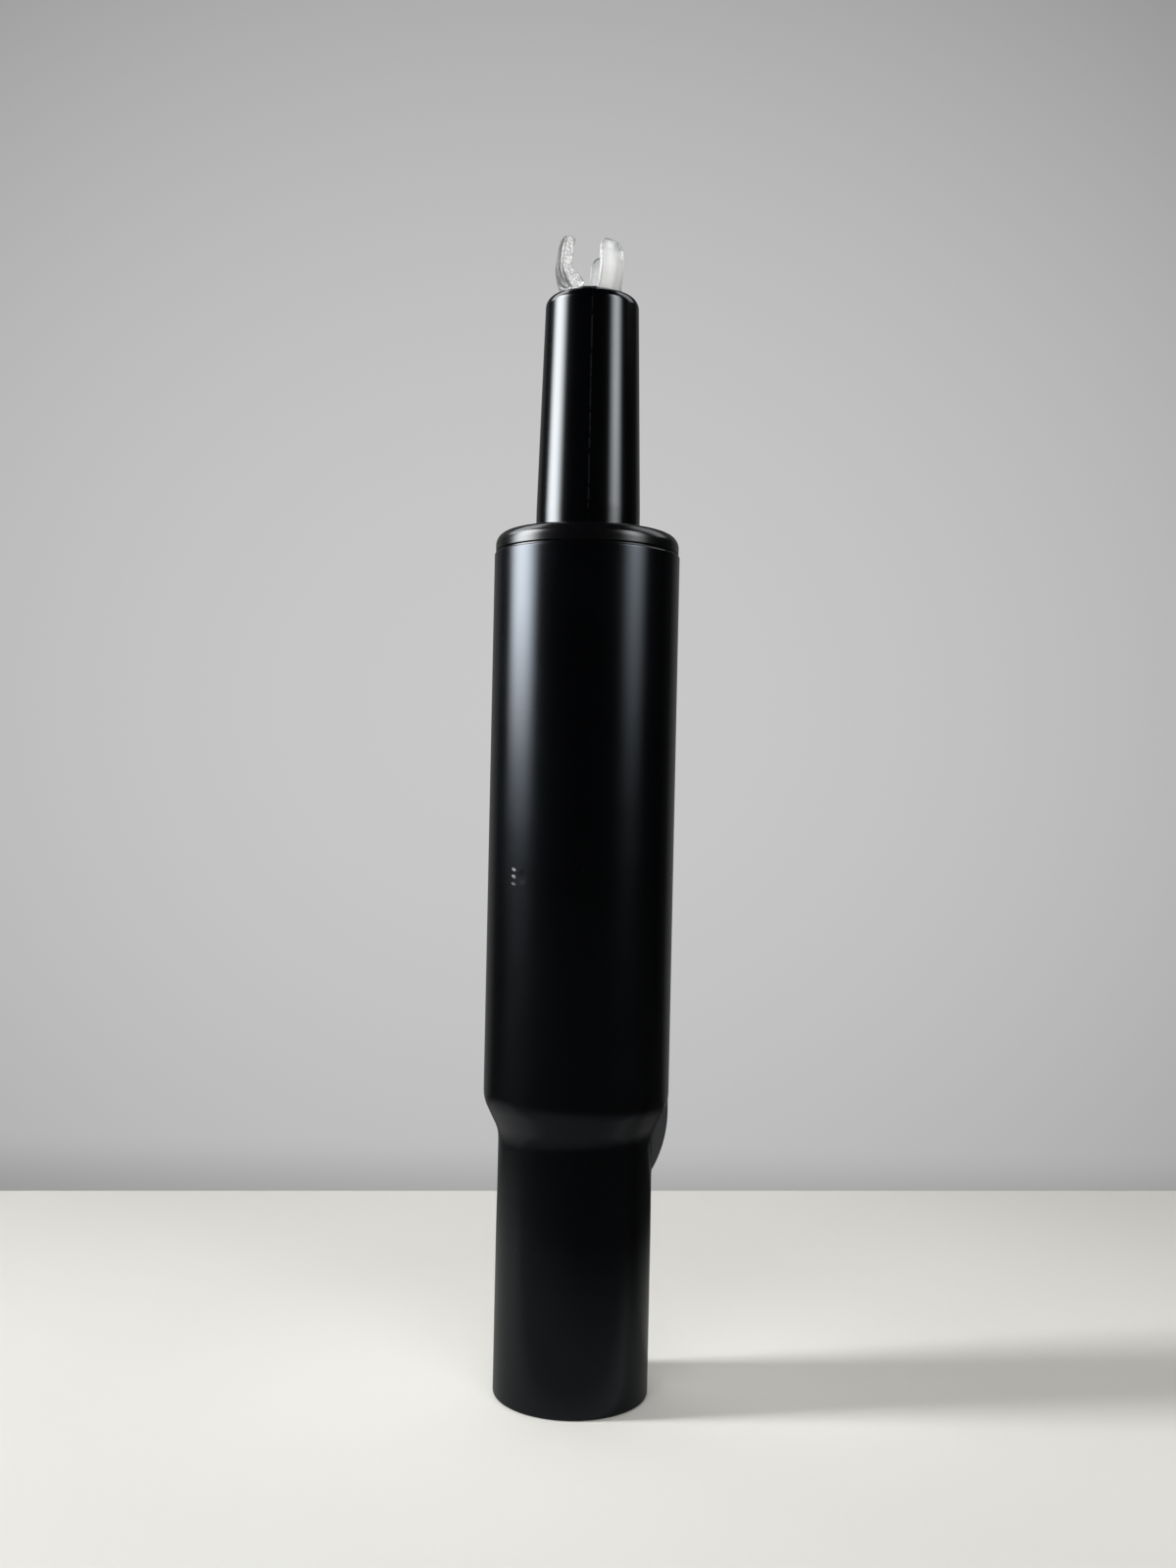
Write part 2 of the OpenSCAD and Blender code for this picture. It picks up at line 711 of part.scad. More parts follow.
// Stop bush: centres the inner cylinder, ends the stroke and lets the gas past through its slots
module stop_bush() {
    bush_bore_r = rod_r + 2 * loose_gap;
    color(moulded_white) difference() {
        union() {
            flat_ring(pack_r, bush_bore_r, stop_z, stop_flange_h);
            flat_ring(inner_bore_r - fit_gap, bush_bore_r, stop_z, stop_h);
        }
        around(slot_count) translate([0, -slot_w / 2, inner_z - slot_drop]) cube([tube_d, slot_w, stop_h]);
    }
}

module inner_cylinder() {
    color(alloy) flat_ring(inner_r, inner_bore_r, inner_z, inner_top - inner_z);
}

// Valve seat: sealing bore for the pin's tip, a ported chamber above it, and the sealed flange
module valve_seat() {
    spigot_r = inner_bore_r - fit_gap;
    tip_bore_r = pin_tip_r + slide_gap;
    chamber_r = chamber_d / 2;
    chamber_z = valve_z + tip_seat_h;
    color(brass_yellow) difference() {
        revolve([
            [tip_bore_r, valve_z], [spigot_r - edge, valve_z], [spigot_r, valve_z + edge],
            [spigot_r, inner_top], [inner_r, inner_top], [inner_r, flange_z],
            [pack_r, flange_z], [pack_r, valve_top],
            [chamber_r, valve_top], [chamber_r, chamber_z], [tip_bore_r, chamber_z]]);
        flat_ring(pack_r + cut, pack_r - oring_t - fit_gap, flange_seal_z - oring_slot / 2, oring_slot);
        flat_ring(tip_bore_r + oring_t + fit_gap, pin_tip_r, tip_seal_z - oring_slot / 2, oring_slot);
        around(port_count) translate([0, 0, inner_top + valve_neck_h / 2]) rotate([0, 90, 0])
            cylinder(d = port_d, h = tube_d);
    }
}

// Valve body: fills the taper, guides the pin and clamps the pin's seal on the valve seat
module valve_body() {
    body_r = tube_bore_r - stop_gap;
    bore_r = pin_r + slide_gap;
    seal_pocket_r = bore_r + oring_t + fit_gap;
    seal_pocket_top = valve_top + oring_slot;
    well_r = button_r + loose_gap;
    color(moulded_white) revolve([
        [seal_pocket_r, valve_top], [body_r, valve_top], [body_r, taper_z],
        [taper_r(body_r, tube_cap_z), tube_cap_z], [well_r, tube_cap_z], [well_r, button_well_z],
        [bore_r, button_well_z], [bore_r, seal_pocket_top], [seal_pocket_r, seal_pocket_top]]);
}

module flange_seal() {
    color(rubber_black) o_ring(pack_r - oring_t, flange_seal_z);
}

module pin_seal() {
    color(rubber_black) o_ring(pin_r + slide_gap, pin_seal_z);
}

module tip_seal() {
    color(rubber_black) o_ring(pin_tip_r + slide_gap, tip_seal_z);
}

// Release pin: pushing it down brings its neck into the tip seal and opens the valve
module release_pin() {
    tip_z = valve_z + edge;
    tip_top = tip_seal_z + pin_lap;
    peg_top = button_top - edge;
    color(bright_steel) revolve([
        [0, tip_z], [pin_tip_r - edge, tip_z], [pin_tip_r, tip_z + edge],
        [pin_tip_r, tip_top], [pin_neck_r, tip_top + edge],
        [pin_neck_r, flange_z], [pin_r, flange_z + edge],
        [pin_r, button_z], [button_peg_r, button_z], [button_peg_r, peg_top], [0, peg_top]]);
}

module release_button() {
    bore_r = button_peg_r + fit_gap;
    bore_top = button_top - edge + fit_gap;
    color(zinc) revolve([
        [bore_r, button_z], [button_r, button_z], [button_r, button_top - edge],
        [button_r - edge, button_top], [0, button_top], [0, bore_top], [bore_r, bore_top]]);
}

// Outside radius of the guard's wall at height z above its seat
function guard_line(z) =
    guard_r + guard_swell * sin(180 * max(0, z - guard_swell_z) / (tallest_finger - guard_swell_z));

// Wall thickness of the guard at height z above its seat
function guard_thickness(z) = guard_wall + (guard_tip_t - guard_wall) * z / tallest_finger;

// Outline of a finger, across and up: an S-shaped foot below a tip with round corners
function finger_outline(h, w, flare) = let(
    tip_r = min(finger_tip_r, w / 2),
    foot = [for (i = [0:arc_steps])
        [w / 2 + flare * (1 + cos(180 * i / arc_steps)) / 2, finger_flare_h * i / arc_steps]],
    half = concat(foot, arc([w / 2 - tip_r, h - tip_r], tip_r, 0, 90)))
    concat(half, reversed([for (p = half) [-p[0], p[1]]]));

// The wall of the base ring, carried on upwards past the fingers' tips
module guard_wall_ring() {
    wall_h = tallest_finger + cut - guard_swell_z;
    levels = [for (i = [0:arc_steps]) guard_swell_z + wall_h * i / arc_steps];
    outer = [for (z = levels) [guard_line(z), z]];
    inner = [for (z = levels) [guard_line(z) - guard_thickness(z), z]];
    revolve(concat([[guard_r - guard_wall, 0], [guard_r, 0]], outer, reversed(inner)));
}

// Button guard: a clear ring in the tube's mouth with three fingers round the button
module button_guard() {
    color(clear_plastic) translate([0, 0, tube_cap_z]) intersection() {
        guard_wall_ring();
        union() {
            translate([0, 0, -cut]) cylinder(r = tube_d, h = cut + guard_ring_h);
            for (finger = FINGERS) rotate(finger[0]) rotate([90, 0, 90]) linear_extrude(tube_d)
                polygon(finger_outline(finger[1], finger[2], finger[3]));
        }
    }
}

column_tube();
shoulder_key();
guide_sleeve();
base_cup();
lower_race();
ball_cage();
bearing_balls();
upper_race();
buffer_washer();
bump_stop();
rod_washer();
rod_clip();
piston_rod();
piston();
piston_ring();
piston_washer();
piston_nut();
pressure_tube();
end_ring();
rod_guide();
seal_washer();
rod_seal();
stop_bush();
inner_cylinder();
valve_seat();
valve_body();
flange_seal();
pin_seal();
tip_seal();
release_pin();
release_button();
button_guard();
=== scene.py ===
"""Chair gas lift cylinder: the finished pieces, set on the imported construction, and a plain studio."""
import math

import bmesh
import bpy
from bpy.props import BoolProperty, CollectionProperty, FloatProperty, FloatVectorProperty
from bpy.props import IntProperty, PointerProperty
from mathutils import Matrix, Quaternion, Vector


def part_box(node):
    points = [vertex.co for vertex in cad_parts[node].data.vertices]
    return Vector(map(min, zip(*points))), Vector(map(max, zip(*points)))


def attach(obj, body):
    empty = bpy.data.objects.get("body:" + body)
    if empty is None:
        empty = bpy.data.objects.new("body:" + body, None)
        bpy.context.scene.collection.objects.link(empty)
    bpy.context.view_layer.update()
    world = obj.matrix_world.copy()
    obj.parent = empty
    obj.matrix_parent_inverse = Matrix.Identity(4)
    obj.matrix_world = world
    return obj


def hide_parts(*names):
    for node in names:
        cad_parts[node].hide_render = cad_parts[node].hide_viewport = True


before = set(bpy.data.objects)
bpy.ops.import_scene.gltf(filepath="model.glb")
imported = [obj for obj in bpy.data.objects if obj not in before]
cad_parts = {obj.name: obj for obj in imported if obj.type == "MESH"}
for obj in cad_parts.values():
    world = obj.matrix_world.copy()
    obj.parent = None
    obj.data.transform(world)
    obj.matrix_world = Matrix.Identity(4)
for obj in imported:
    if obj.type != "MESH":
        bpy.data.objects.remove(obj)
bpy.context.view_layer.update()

bl_info = {
    "name": "Chair gas lift cylinder",
    "version": (1, 0, 0),
    "blender": (4, 5, 0),
    "location": "3D View > Sidebar > Gas lift",
    "description": "Builds the finished pieces of a chair gas lift on its packed construction",
    "category": "Object",
}

MM = 0.001
DEG = math.radians(1)
# Largest turn between two points of an arc
ARC_STEP = 7 * DEG
# Distance from a bend to the row that keeps the straight stretch beside it flat
HOLD = 0.35 * MM
# Edges that turn by more than this stay sharp in the shading
SHARP_ANGLE = 38 * DEG
# Two edges that turn by less than this at a lone point are joined into one
STRAIGHT_ANGLE = 0.1 * DEG
# Points closer together than this become one, on a turned outline and on a finished piece
TURNED_WELD = 0.001 * MM
WELD = 0.0001 * MM
# Radius of the circle that outlines are swept along
SWEEP_R = 10 * MM
# Points round each piece; the sleeve's number keeps its columns of points off the sides of its ribs
COLUMN_POINTS = 360
TUBE_POINTS = 320
SLEEVE_POINTS = 232
CUP_POINTS = 192
SMALL_POINTS = 128
BALL_POINTS = 32
# Distance between the rows of points at the stakes
STAKE_ROW = 0.4 * MM
# Rows up the shoulder key and columns across it
KEY_ROWS = 24
KEY_COLUMNS = 14
# Points across a wall of the guard, along each of its round edges, and along a finger's foot and tip
WALL_STEPS = 14
CORNER_STEPS = 4
FINGER_STEPS = 10
# Largest share of a thickness that a rounding of the guard takes up
ROUND_SHARE = 0.95
# Roundings of plain edges, from nearly sharp to soft
FINE = 0.1 * MM
CRISP = 0.2 * MM
BROKEN = 0.3 * MM
SOFT = 0.5 * MM


def low(node):
    """Height of a node's lower end."""
    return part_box(node)[0].z


def top(node):
    """Height of a node's upper end."""
    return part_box(node)[1].z


def reach(node):
    """How far a round node reaches from the axis."""
    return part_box(node)[1].x


# Settings

def length(name, description, size):
    """A length in metres that can be changed by the user."""
    return FloatProperty(name=name, description=description, default=size, unit="LENGTH", precision=5)


def angle(name, description, degrees):
    """An angle that can be changed by the user."""
    return FloatProperty(name=name, description=description, default=degrees * DEG, subtype="ANGLE")


def share(name, description, value):
    """A factor from 0 to 1 that can be changed by the user."""
    return FloatProperty(name=name, description=description, default=value, min=0, max=1, subtype="FACTOR")


def quantity(name, description, number):
    """A number of like things that can be changed by the user."""
    return IntProperty(name=name, description=description, default=number, min=1)


def colour(name, description, value):
    """A colour that can be changed by the user."""
    return FloatVectorProperty(
        name=name, description=description, default=value, size=3, min=0, max=1, subtype="COLOR")


def group(kind, name, description):
    """A group of settings inside another."""
    return PointerProperty(type=kind, name=name, description=description)


class ColumnSettings(bpy.types.PropertyGroup):
    """Sizes and paint of the column and its key."""

    wall: length("Wall", "Wall thickness of the column", 2 * MM)
    seat_r: length("Seat radius", "Radius of the seat that goes into the chair base", 20.9 * MM)
    seat_h: length("Seat height", "Height of the upper end of the seat", 56 * MM)
    seat_run: length("Seat run-out", "Length over which the seat runs out into the neck", 12 * MM)
    seat_blend: length("Seat blend", "Rounding at both ends of that run-out", 60 * MM)
    neck_r: length("Neck radius", "Radius of the relief below the shoulder", 20.8 * MM)
    shoulder_z: length("Shoulder", "Height at which the shoulder starts", 68.8 * MM)
    shoulder_r: length("Shoulder bend", "Outside bend radius at both ends of the shoulder", 9.5 * MM)
    shoulder_angle: angle("Shoulder angle", "Steepest angle of the shoulder from the vertical", 26)
    foot_r: length("Foot rounding", "Outside rounding of the rolled foot", 1 * MM)
    foot_bore_r: length("Foot opening", "Radius of the opening in the rolled foot", 15.7 * MM)
    rim_r: length("Rim rounding", "Rounding of the outer edge of the rim", 0.5 * MM)
    stake_count: quantity("Stakes", "Number of stakes round the column", 3)
    stake_angle: angle("First stake", "Angle of the first stake from the front, towards the left", 37)
    stake_z: length("Stake height", "Height of the middle of the stakes", 140 * MM)
    stake_r: length("Stake nose", "Radius of the punch's ball nose", 50 * MM)
    stake_depth: length("Stake depth", "Depth of a stake", 0.04 * MM)
    nick_aside: length("Nicks", "Distance from a stake's middle to the nicks at its left edge", 2.9 * MM)
    nick_pitch: length("Nick pitch", "Distance from one nick to the next, up the column", 1.85 * MM)
    nick_w: length("Nick width", "Half width of a nick", 0.9 * MM)
    nick_h: length("Nick height", "Half height of a nick", 0.5 * MM)
    key_w: length("Key width", "Width of the shoulder key", 6 * MM)
    key_angle: angle("Key angle", "Turn of the key from the right-hand side towards the back", 8)
    key_edge_r: length("Key edge", "Radius of the key's curved edge", 32 * MM)
    key_drop: length("Key drop", "Where that edge starts, below the top of the shoulder", 5.8 * MM)
    key_edge: length("Key rounding", "Rounding of the key's long edges", 0.5 * MM)
    key_gap: length("Key gap", "Gap between the key and the column", 0.01 * MM)
    key_least: length("Key thinnest", "Least thickness of the key where it runs out", 0.02 * MM)
    paint: colour("Paint", "Colour of the column's satin paint", (0.0005, 0.0006, 0.0009))
    roughness: share("Paint roughness", "Roughness of the satin paint", 0.2)
    # The key's dull grey is partly painted light: lighter than the column's paint, it lifts the key where
    # the column shades it
    key_paint: colour("Key paint", "Colour of the key's dull finish", (0.034, 0.034, 0.034))
    key_roughness: share("Key roughness", "Roughness of the key's dull finish", 0.5)


class SleeveSettings(bpy.types.PropertyGroup):
    """Sizes and moulding of the guide sleeve."""

    bore_r: length("Bore radius", "Radius of the bore that the pressure tube slides in", 14.08 * MM)
    barrel_r: length("Barrel radius", "Outside radius of the barrel between the lands", 16.28 * MM)
    land_r: length("Land radius", "Outside radius of the lands and ribs", 22.95 * MM)
    land_h: length("Land height", "Height of the lands at both ends", 14 * MM)
    ring_h: length("Ring height", "Height of the ring half way down", 4 * MM)
    seam_drop: length("Seam drop", "How far the seam lies below the construction's rim", 0.8 * MM)
    seam_r: length("Seam radius", "Radius at the bottom of the shadow gap", 24.2 * MM)
    seam_h: length("Seam height", "Height of the shadow gap under the collar", 0.5 * MM)
    collar_r: length("Collar rounding", "Rounding of the collar's top edge", 3.4 * MM)
    collar_foot: length("Collar foot", "Rounding of the collar's lower edge", 0.25 * MM)
    lead: length("Lead-in", "Chamfer at the ends of the bore", 1 * MM)
    lead_r: length("Lead-in rounding", "Rounding between the collar's top and its lead-in", 0.4 * MM)
    rib_count: quantity("Ribs", "Number of ribs along the sleeve", 8)
    rib_w: length("Rib thickness", "Thickness of a rib", 2.4 * MM)
    rib_root: length("Rib root", "How deep a rib goes into the barrel", 0.5 * MM)
    rib_drop: length("Rib drop", "How far a rib stays below the surface of the lands", 0.05 * MM)
    rib_stop: length("Rib stop", "How far a rib stops short of the ends of the sleeve's barrel", 1 * MM)
    colour: colour("Moulding", "Colour of the moulded sleeve", (0.0012, 0.0013, 0.0017))
    roughness: share("Moulding roughness", "Roughness of the moulded sleeve", 0.22)


class TubeSettings(bpy.types.PropertyGroup):
    """Sizes and finish of the pressure tube."""

    wall: length("Wall", "Wall thickness of the pressure tube", 1.6 * MM)
    taper_z: length("Taper", "Height at which the taper starts", 237.8 * MM)
    taper_angle: angle("Taper angle", "Half angle of the taper", 1.438)
    taper_r: length("Taper blend", "Rounding where the taper starts", 40 * MM)
    crown_r: length("Crown rounding", "Rounding of the tube's top edge", 3 * MM)
    mouth_r: length("Mouth radius", "Radius of the mouth in the tube's top", 8.7 * MM)
    crimp_w: length("Crimp", "How far the lower end is rolled in", 3 * MM)
    seam_w: length("Seam width", "Width of the weld line along the front", 0.35 * MM)
    colour: colour("Gloss", "Colour of the tube's gloss finish", (0.0004, 0.0005, 0.0008))
    roughness: share("Gloss roughness", "Roughness of the gloss finish", 0.16)


class ReleaseSettings(bpy.types.PropertyGroup):
    """Sizes of the release button and of the valve body round it."""

    button_edge: length("Button rounding", "Rounding of the button's top edge", 0.6 * MM)
    cap_h: length("Button top", "Thickness of the button over the pin's peg", 0.45 * MM)
    peg_r: length("Peg hole", "Radius of the button's hole for the pin's peg", 2.45 * MM)
    well_r: length("Well radius", "Radius of the well that the button sits in", 5.3 * MM)
    well_z: length("Well floor", "Height of the floor of that well", 292.3 * MM)
    pin_r: length("Pin bore", "Radius of the bore that the release pin slides in", 4.08 * MM)
    pocket_r: length("Seal pocket", "Radius of the pocket for the pin's seal", 6.53 * MM)
    pocket_h: length("Seal pocket height", "Height of that pocket", 2.5 * MM)


class FingerSettings(bpy.types.PropertyGroup):
    """One finger of the button guard."""

    facing: angle("Facing", "Way the finger faces, from the right towards the back", 0)
    height: length("Height", "Height of the tip above the guard's seat", 15 * MM)
    width: length("Width", "Width of the finger", 7 * MM)
    flare: length("Flare", "How far the foot flares on each side", 0.5 * MM)
    lean: angle("Lean", "Most that the cut sides lean from the radial direction", 0)
    slant: length("Slant", "How much higher the tip is on the side towards the back", 0)
    swell: length("Swell", "How far the finger swells outwards", 1 * MM)
    gusset: length("Gusset", "How much thicker the finger is at its foot, towards the middle", 0)
    haze: share("Haze", "How hazy the walls of the finger are", 0.1)


class GuardSettings(bpy.types.PropertyGroup):
    """Sizes and plastic of the button guard."""

    ring_r: length("Ring radius", "Outside radius of the base ring", 8.62 * MM)
    ring_h: length("Ring height", "Height of the base ring", 2.4 * MM)
    wall: length("Wall", "Radial thickness of the base ring", 2.9 * MM)
    tip_wall: length("Tip wall", "Wall thickness at the tip of the tallest finger", 2.6 * MM)
    tip_r: length("Tip rounding", "Radius of the round corners of a tip", 2.9 * MM)
    tip_flat: length("Tip flat", "Least half width of the flat between those corners", 0.2 * MM)
    tip_edge: length("Tip edge", "Height over which the wall thins to its round top edge", 1.1 * MM)
    flare_h: length("Flare height", "Height over which a flared foot runs out", 9 * MM)
    gusset_h: length("Gusset height", "Height over which a gusset runs out", 7.5 * MM)
    edge_r: length("Edge rounding", "Rounding of the fingers' long edges", 0.45 * MM)
    left: group(FingerSettings, "Left finger", "The tallest finger, on the left")
    right: group(FingerSettings, "Right finger", "The finger on the right, towards the front")
    back: group(FingerSettings, "Back finger", "The finger at the back")
    cut_haze: share("Cut haze", "How hazy the cut sides of the fingers are", 1)
    colour: colour("Plastic", "Colour of the clear plastic", (0.94, 0.95, 0.95))


class FootSettings(bpy.types.PropertyGroup):
    """Sizes of the base cup, the washer under it and the stepped rod."""

    sheet: length("Sheet", "Thickness of the cup's sheet", 2.5 * MM)
    bend: length("Bend", "Inside radius of the cup's bends", 1.5 * MM)
    pocket_r: length("Pocket radius", "Inside radius of the cup", 12 * MM)
    hole_r: length("Cup hole", "Radius of the hole in the cup's top", 4.4 * MM)
    washer_hole_r: length("Washer hole", "Radius of the washer's hole", 4.05 * MM)
    washer_hole_edge: length("Hole edge", "Rounding of the edges of the washer's hole", 0.15 * MM)
    washer_roll: length("Washer roll", "Rounding of the washer's lower edge", 0.4 * MM)
    rod_r: length("Rod foot", "Radius of the rod below its shoulder", 4 * MM)
    groove_r: length("Clip groove", "Radius at the bottom of the clip's groove", 3.2 * MM)
    centre_r: length("Centre hole", "Radius of the turning centre in the rod's foot", 1.4 * MM)
    end_r: length("Rod end", "Radius of the rod's end, which holds the piston", 3 * MM)
    end_edge: length("Rod end rounding", "Rounding of that end", 0.4 * MM)


class BearingSettings(bpy.types.PropertyGroup):
    """The ring of balls in the thrust bearing."""

    ball_count: quantity("Balls", "Number of balls", 10)
    circle_r: length("Ball circle", "Radius of the circle that the balls run on", 8 * MM)


class ColourSettings(bpy.types.PropertyGroup):
    """Colours of the plain metals and mouldings."""

    steel: colour("Steel", "Colour of the release pin and button", (0.55, 0.56, 0.58))
    rod: colour("Rod", "Colour of the ground piston rod", (0.62, 0.63, 0.65))
    bearing: colour("Bearing steel", "Colour of the balls and races", (0.58, 0.59, 0.61))
    alloy: colour("Alloy", "Colour of the piston and the inner cylinder", (0.6, 0.61, 0.63))
    brass: colour("Brass", "Colour of the ball cage and the valve seat", (0.66, 0.46, 0.18))
    valve: colour("Valve moulding", "Colour of the valve body", (0.72, 0.71, 0.67))
    bush: colour("Bush moulding", "Colour of the rod guide and the stop bush", (0.74, 0.73, 0.69))


class LampSettings(bpy.types.PropertyGroup):
    """One soft lamp of the studio."""

    azimuth: angle("Azimuth", "Way to the lamp, from the camera's side towards the right", 0)
    distance: length("Distance", "Distance of the lamp from the axis; at 0 it points straight down", 1.9)
    height: length("Height", "Height of the middle of the lamp", 0.98)
    aim_z: length("Aim", "Height on the axis that the lamp points at", 0.98)
    size: FloatVectorProperty(
        name="Size", description="Width and height of the lamp", default=(1.2, 1.2), size=2, unit="LENGTH")
    power: FloatProperty(name="Power", description="Power of the lamp", default=10, unit="POWER")
    tint: colour("Tint", "Colour of the lamp's light", (1, 1, 1))
    gloss_only: BoolProperty(
        name="Gloss only", description="Show in gloss alone, or else light all but gloss", default=False)
    side_fade: share("Side fade", "Share of the half width over which the lamp fades to its sides", 0)
    foot_fade: share("Foot fade", "Share of the height over which the lamp fades to its foot", 0)


class StudioSettings(bpy.types.PropertyGroup):
    """Camera, floor, backdrop and lamps."""

    eye_z: length("Eye level", "Height of the camera", 160 * MM)
    distance: length("Distance", "Distance of the camera from the axis", 420 * MM)
    aside: length("Aside", "How far the camera stands to the right of the axis", 1.58 * MM)
    shift: FloatProperty(name="Shift", description="Vertical shift of the lens", default=0.0107)
    roll: angle("Roll", "How far the camera is turned anticlockwise", 1.2)
    lens: FloatProperty(name="Lens", description="Focal length", default=35.61, unit="CAMERA")
    floor_reach: length("Floor reach", "How far the floor reaches forwards and to each side", 1.6)
    edge_y: length("Floor edge", "Distance from the axis to the back edge of the floor", 216 * MM)
    edge_turn: angle("Edge turn", "Turn of the floor's back edge in plan", 4.75)
    wall_y: length("Backdrop distance", "Distance from the axis to the backdrop", 1)
    wall_reach: length("Backdrop reach", "How far the backdrop reaches up and to each side", 2.2)
    wall_foot: length("Backdrop foot", "Height of the lower edge of the backdrop", -0.8)
    floor: colour("Floor", "Colour of the floor", (0.8, 0.785, 0.74))
    wall: colour("Backdrop", "Colour of the backdrop", (0.58, 0.58, 0.58))
    ambient: share("Ambient", "Strength of the even light from all round", 0.006)
    lamps: CollectionProperty(type=LampSettings, name="Lamps", description="Soft lamps of the studio")


class GasLiftSettings(bpy.types.PropertyGroup):
    """All settings of the gas lift."""

    column: group(ColumnSettings, "Column", "The column and its key")
    sleeve: group(SleeveSettings, "Sleeve", "The guide sleeve")
    tube: group(TubeSettings, "Tube", "The pressure tube")
    release: group(ReleaseSettings, "Release", "The release button and the valve body")
    guard: group(GuardSettings, "Guard", "The button guard")
    foot: group(FootSettings, "Foot", "The base cup, its washer and the rod")
    bearing: group(BearingSettings, "Bearing", "The balls of the thrust bearing")
    colours: group(ColourSettings, "Colours", "The plain metals and mouldings")
    studio: group(StudioSettings, "Studio", "Camera, floor, backdrop and lamps")


# Node trees

class Value:
    """A socket that arithmetic can be written with; each operation adds its Math node."""

    def __init__(self, tree, socket):
        self.tree = tree
        self.socket = socket

    def __add__(self, other):
        return self.tree.math("ADD", self, other)

    def __radd__(self, other):
        return self.tree.math("ADD", other, self)

    def __sub__(self, other):
        return self.tree.math("SUBTRACT", self, other)

    def __rsub__(self, other):
        return self.tree.math("SUBTRACT", other, self)

    def __mul__(self, other):
        return self.tree.math("MULTIPLY", self, other)

    def __truediv__(self, other):
        return self.tree.math("DIVIDE", self, other)

    def __pow__(self, other):
        return self.tree.math("POWER", self, other)

    def __neg__(self):
        return self.tree.math("MULTIPLY", self, -1)

    def __abs__(self):
        return self.tree.math("ABSOLUTE", self)

    def ramp(self, start, end):
        """0 below start and 1 above end, with a soft change between."""
        return self.tree.add("ShaderNodeMapRange", {
            "Value": self, "From Min": start, "From Max": end}, "Result", interpolation_type="SMOOTHSTEP")


class NodeTree:
    """Adds nodes to a tree and links them."""

    def __init__(self, tree):
        self.tree = tree

    def add(self, kind, sockets=None, output=0, **settings):
        """Add a node, set it up, feed its sockets, and return one of its outputs."""
        node = self.tree.nodes.new(kind)
        for name, value in settings.items():
            setattr(node, name, value)
        for name, value in (sockets or {}).items():
            self.feed(node.inputs[name], value)
        return Value(self, node.outputs[output])

    def feed(self, socket, value):
        """Link a value, or a list of values, to a socket, or set it to a plain number, colour or thing."""
        if isinstance(value, Value):
            self.tree.links.new(value.socket, socket)
        elif isinstance(value, list):
            for one in value:
                self.feed(socket, one)
        else:
            socket.default_value = value

    def math(self, operation, *terms):
        """The result of a Math node."""
        return self.add("ShaderNodeMath", dict(enumerate(terms)), operation=operation)

    def split(self, vector):
        """The x, y and z of a vector."""
        node = self.add("ShaderNodeSeparateXYZ", {"Vector": vector}).socket.node
        return [Value(self, socket) for socket in node.outputs]

    def vector(self, x=0, y=0, z=0):
        """A vector from its x, y and z."""
        return self.add("ShaderNodeCombineXYZ", {"X": x, "Y": y, "Z": z})

    def ray(self, kind):
        """1 on rays of that kind, such as Camera or Glossy, and 0 on others."""
        return self.add("ShaderNodeLightPath", None, f"Is {kind} Ray")


class Shapes(NodeTree):
    """A geometry tree with named inputs."""

    def __init__(self, name):
        super().__init__(bpy.data.node_groups.new(name, "GeometryNodeTree"))
        self.entry = self.tree.nodes.new("NodeGroupInput")

    def input(self, name, kind):
        """Add a named input and return its value."""
        item = self.tree.interface.new_socket(name, in_out="INPUT", socket_type=f"NodeSocket{kind}")
        socket = next(s for s in self.entry.outputs if s.identifier == item.identifier)
        return Value(self, socket)

    def end(self, geometry, material):
        """Realize what the tree made, give it its material and send it out."""
        realized = self.add("GeometryNodeRealizeInstances", {"Geometry": geometry})
        dressed = self.add("GeometryNodeSetMaterial", {"Geometry": realized, "Material": material})
        self.tree.interface.new_socket("Geometry", in_out="OUTPUT", socket_type="NodeSocketGeometry")
        leave = self.tree.nodes.new("NodeGroupOutput")
        self.feed(leave.inputs[0], dressed)
        return self.tree


class Finish(NodeTree):
    """A material: constants go straight to its shader, and patterns are added to it."""

    def __init__(self, name, **constants):
        self.material = bpy.data.materials.new(name)
        self.material.use_nodes = True
        super().__init__(self.material.node_tree)
        self.shader = self.tree.nodes["Principled BSDF"]
        self.set(**constants)

    def set(self, **sockets):
        """Set or link the shader's sockets; an underscore stands for a space."""
        for name, value in sockets.items():
            self.feed(self.shader.inputs[name.replace("_", " ")], value)

    def place(self):
        """Object coordinates."""
        return self.add("ShaderNodeTexCoord", None, "Object")

    def axes(self):
        """The x, y and z of the object coordinates."""
        return self.split(self.place())

    def noise(self, scale, detail=2, stretch=(1, 1, 1)):
        """Noise with about one feature in each 1/scale metres, stretched along the axes."""
        place = self.add("ShaderNodeVectorMath", {0: self.place(), 1: stretch}, operation="MULTIPLY")
        return self.add("ShaderNodeTexNoise", {"Vector": place, "Scale": scale, "Detail": detail})

    def mark(self, name):
        """A number that the mesh keeps for each of its faces."""
        return self.add("ShaderNodeAttribute", None, "Fac", attribute_name=name)

    def blend(self, factor, first, second):
        """A colour between two others."""
        return self.add("ShaderNodeMix", {0: factor, 6: first, 7: second}, 2, data_type="RGBA")

    def bump(self, height, strength, distance):
        """Raise the surface where height is 1, by about distance."""
        return self.add("ShaderNodeBump", {"Height": height, "Strength": strength, "Distance": distance})

    def cover(self, factor, shader):
        """Lay another shader over all that the material shows so far."""
        surface = self.tree.nodes["Material Output"].inputs["Surface"]
        below = Value(self, surface.links[0].from_socket)
        self.feed(surface, self.add("ShaderNodeMixShader", {0: factor, 1: below, 2: shader}))


def rgba(value, gain=1.0):
    """A colour for a socket, made lighter or darker by gain."""
    return (*(min(1.0, c * gain) for c in value), 1)


# Finishes

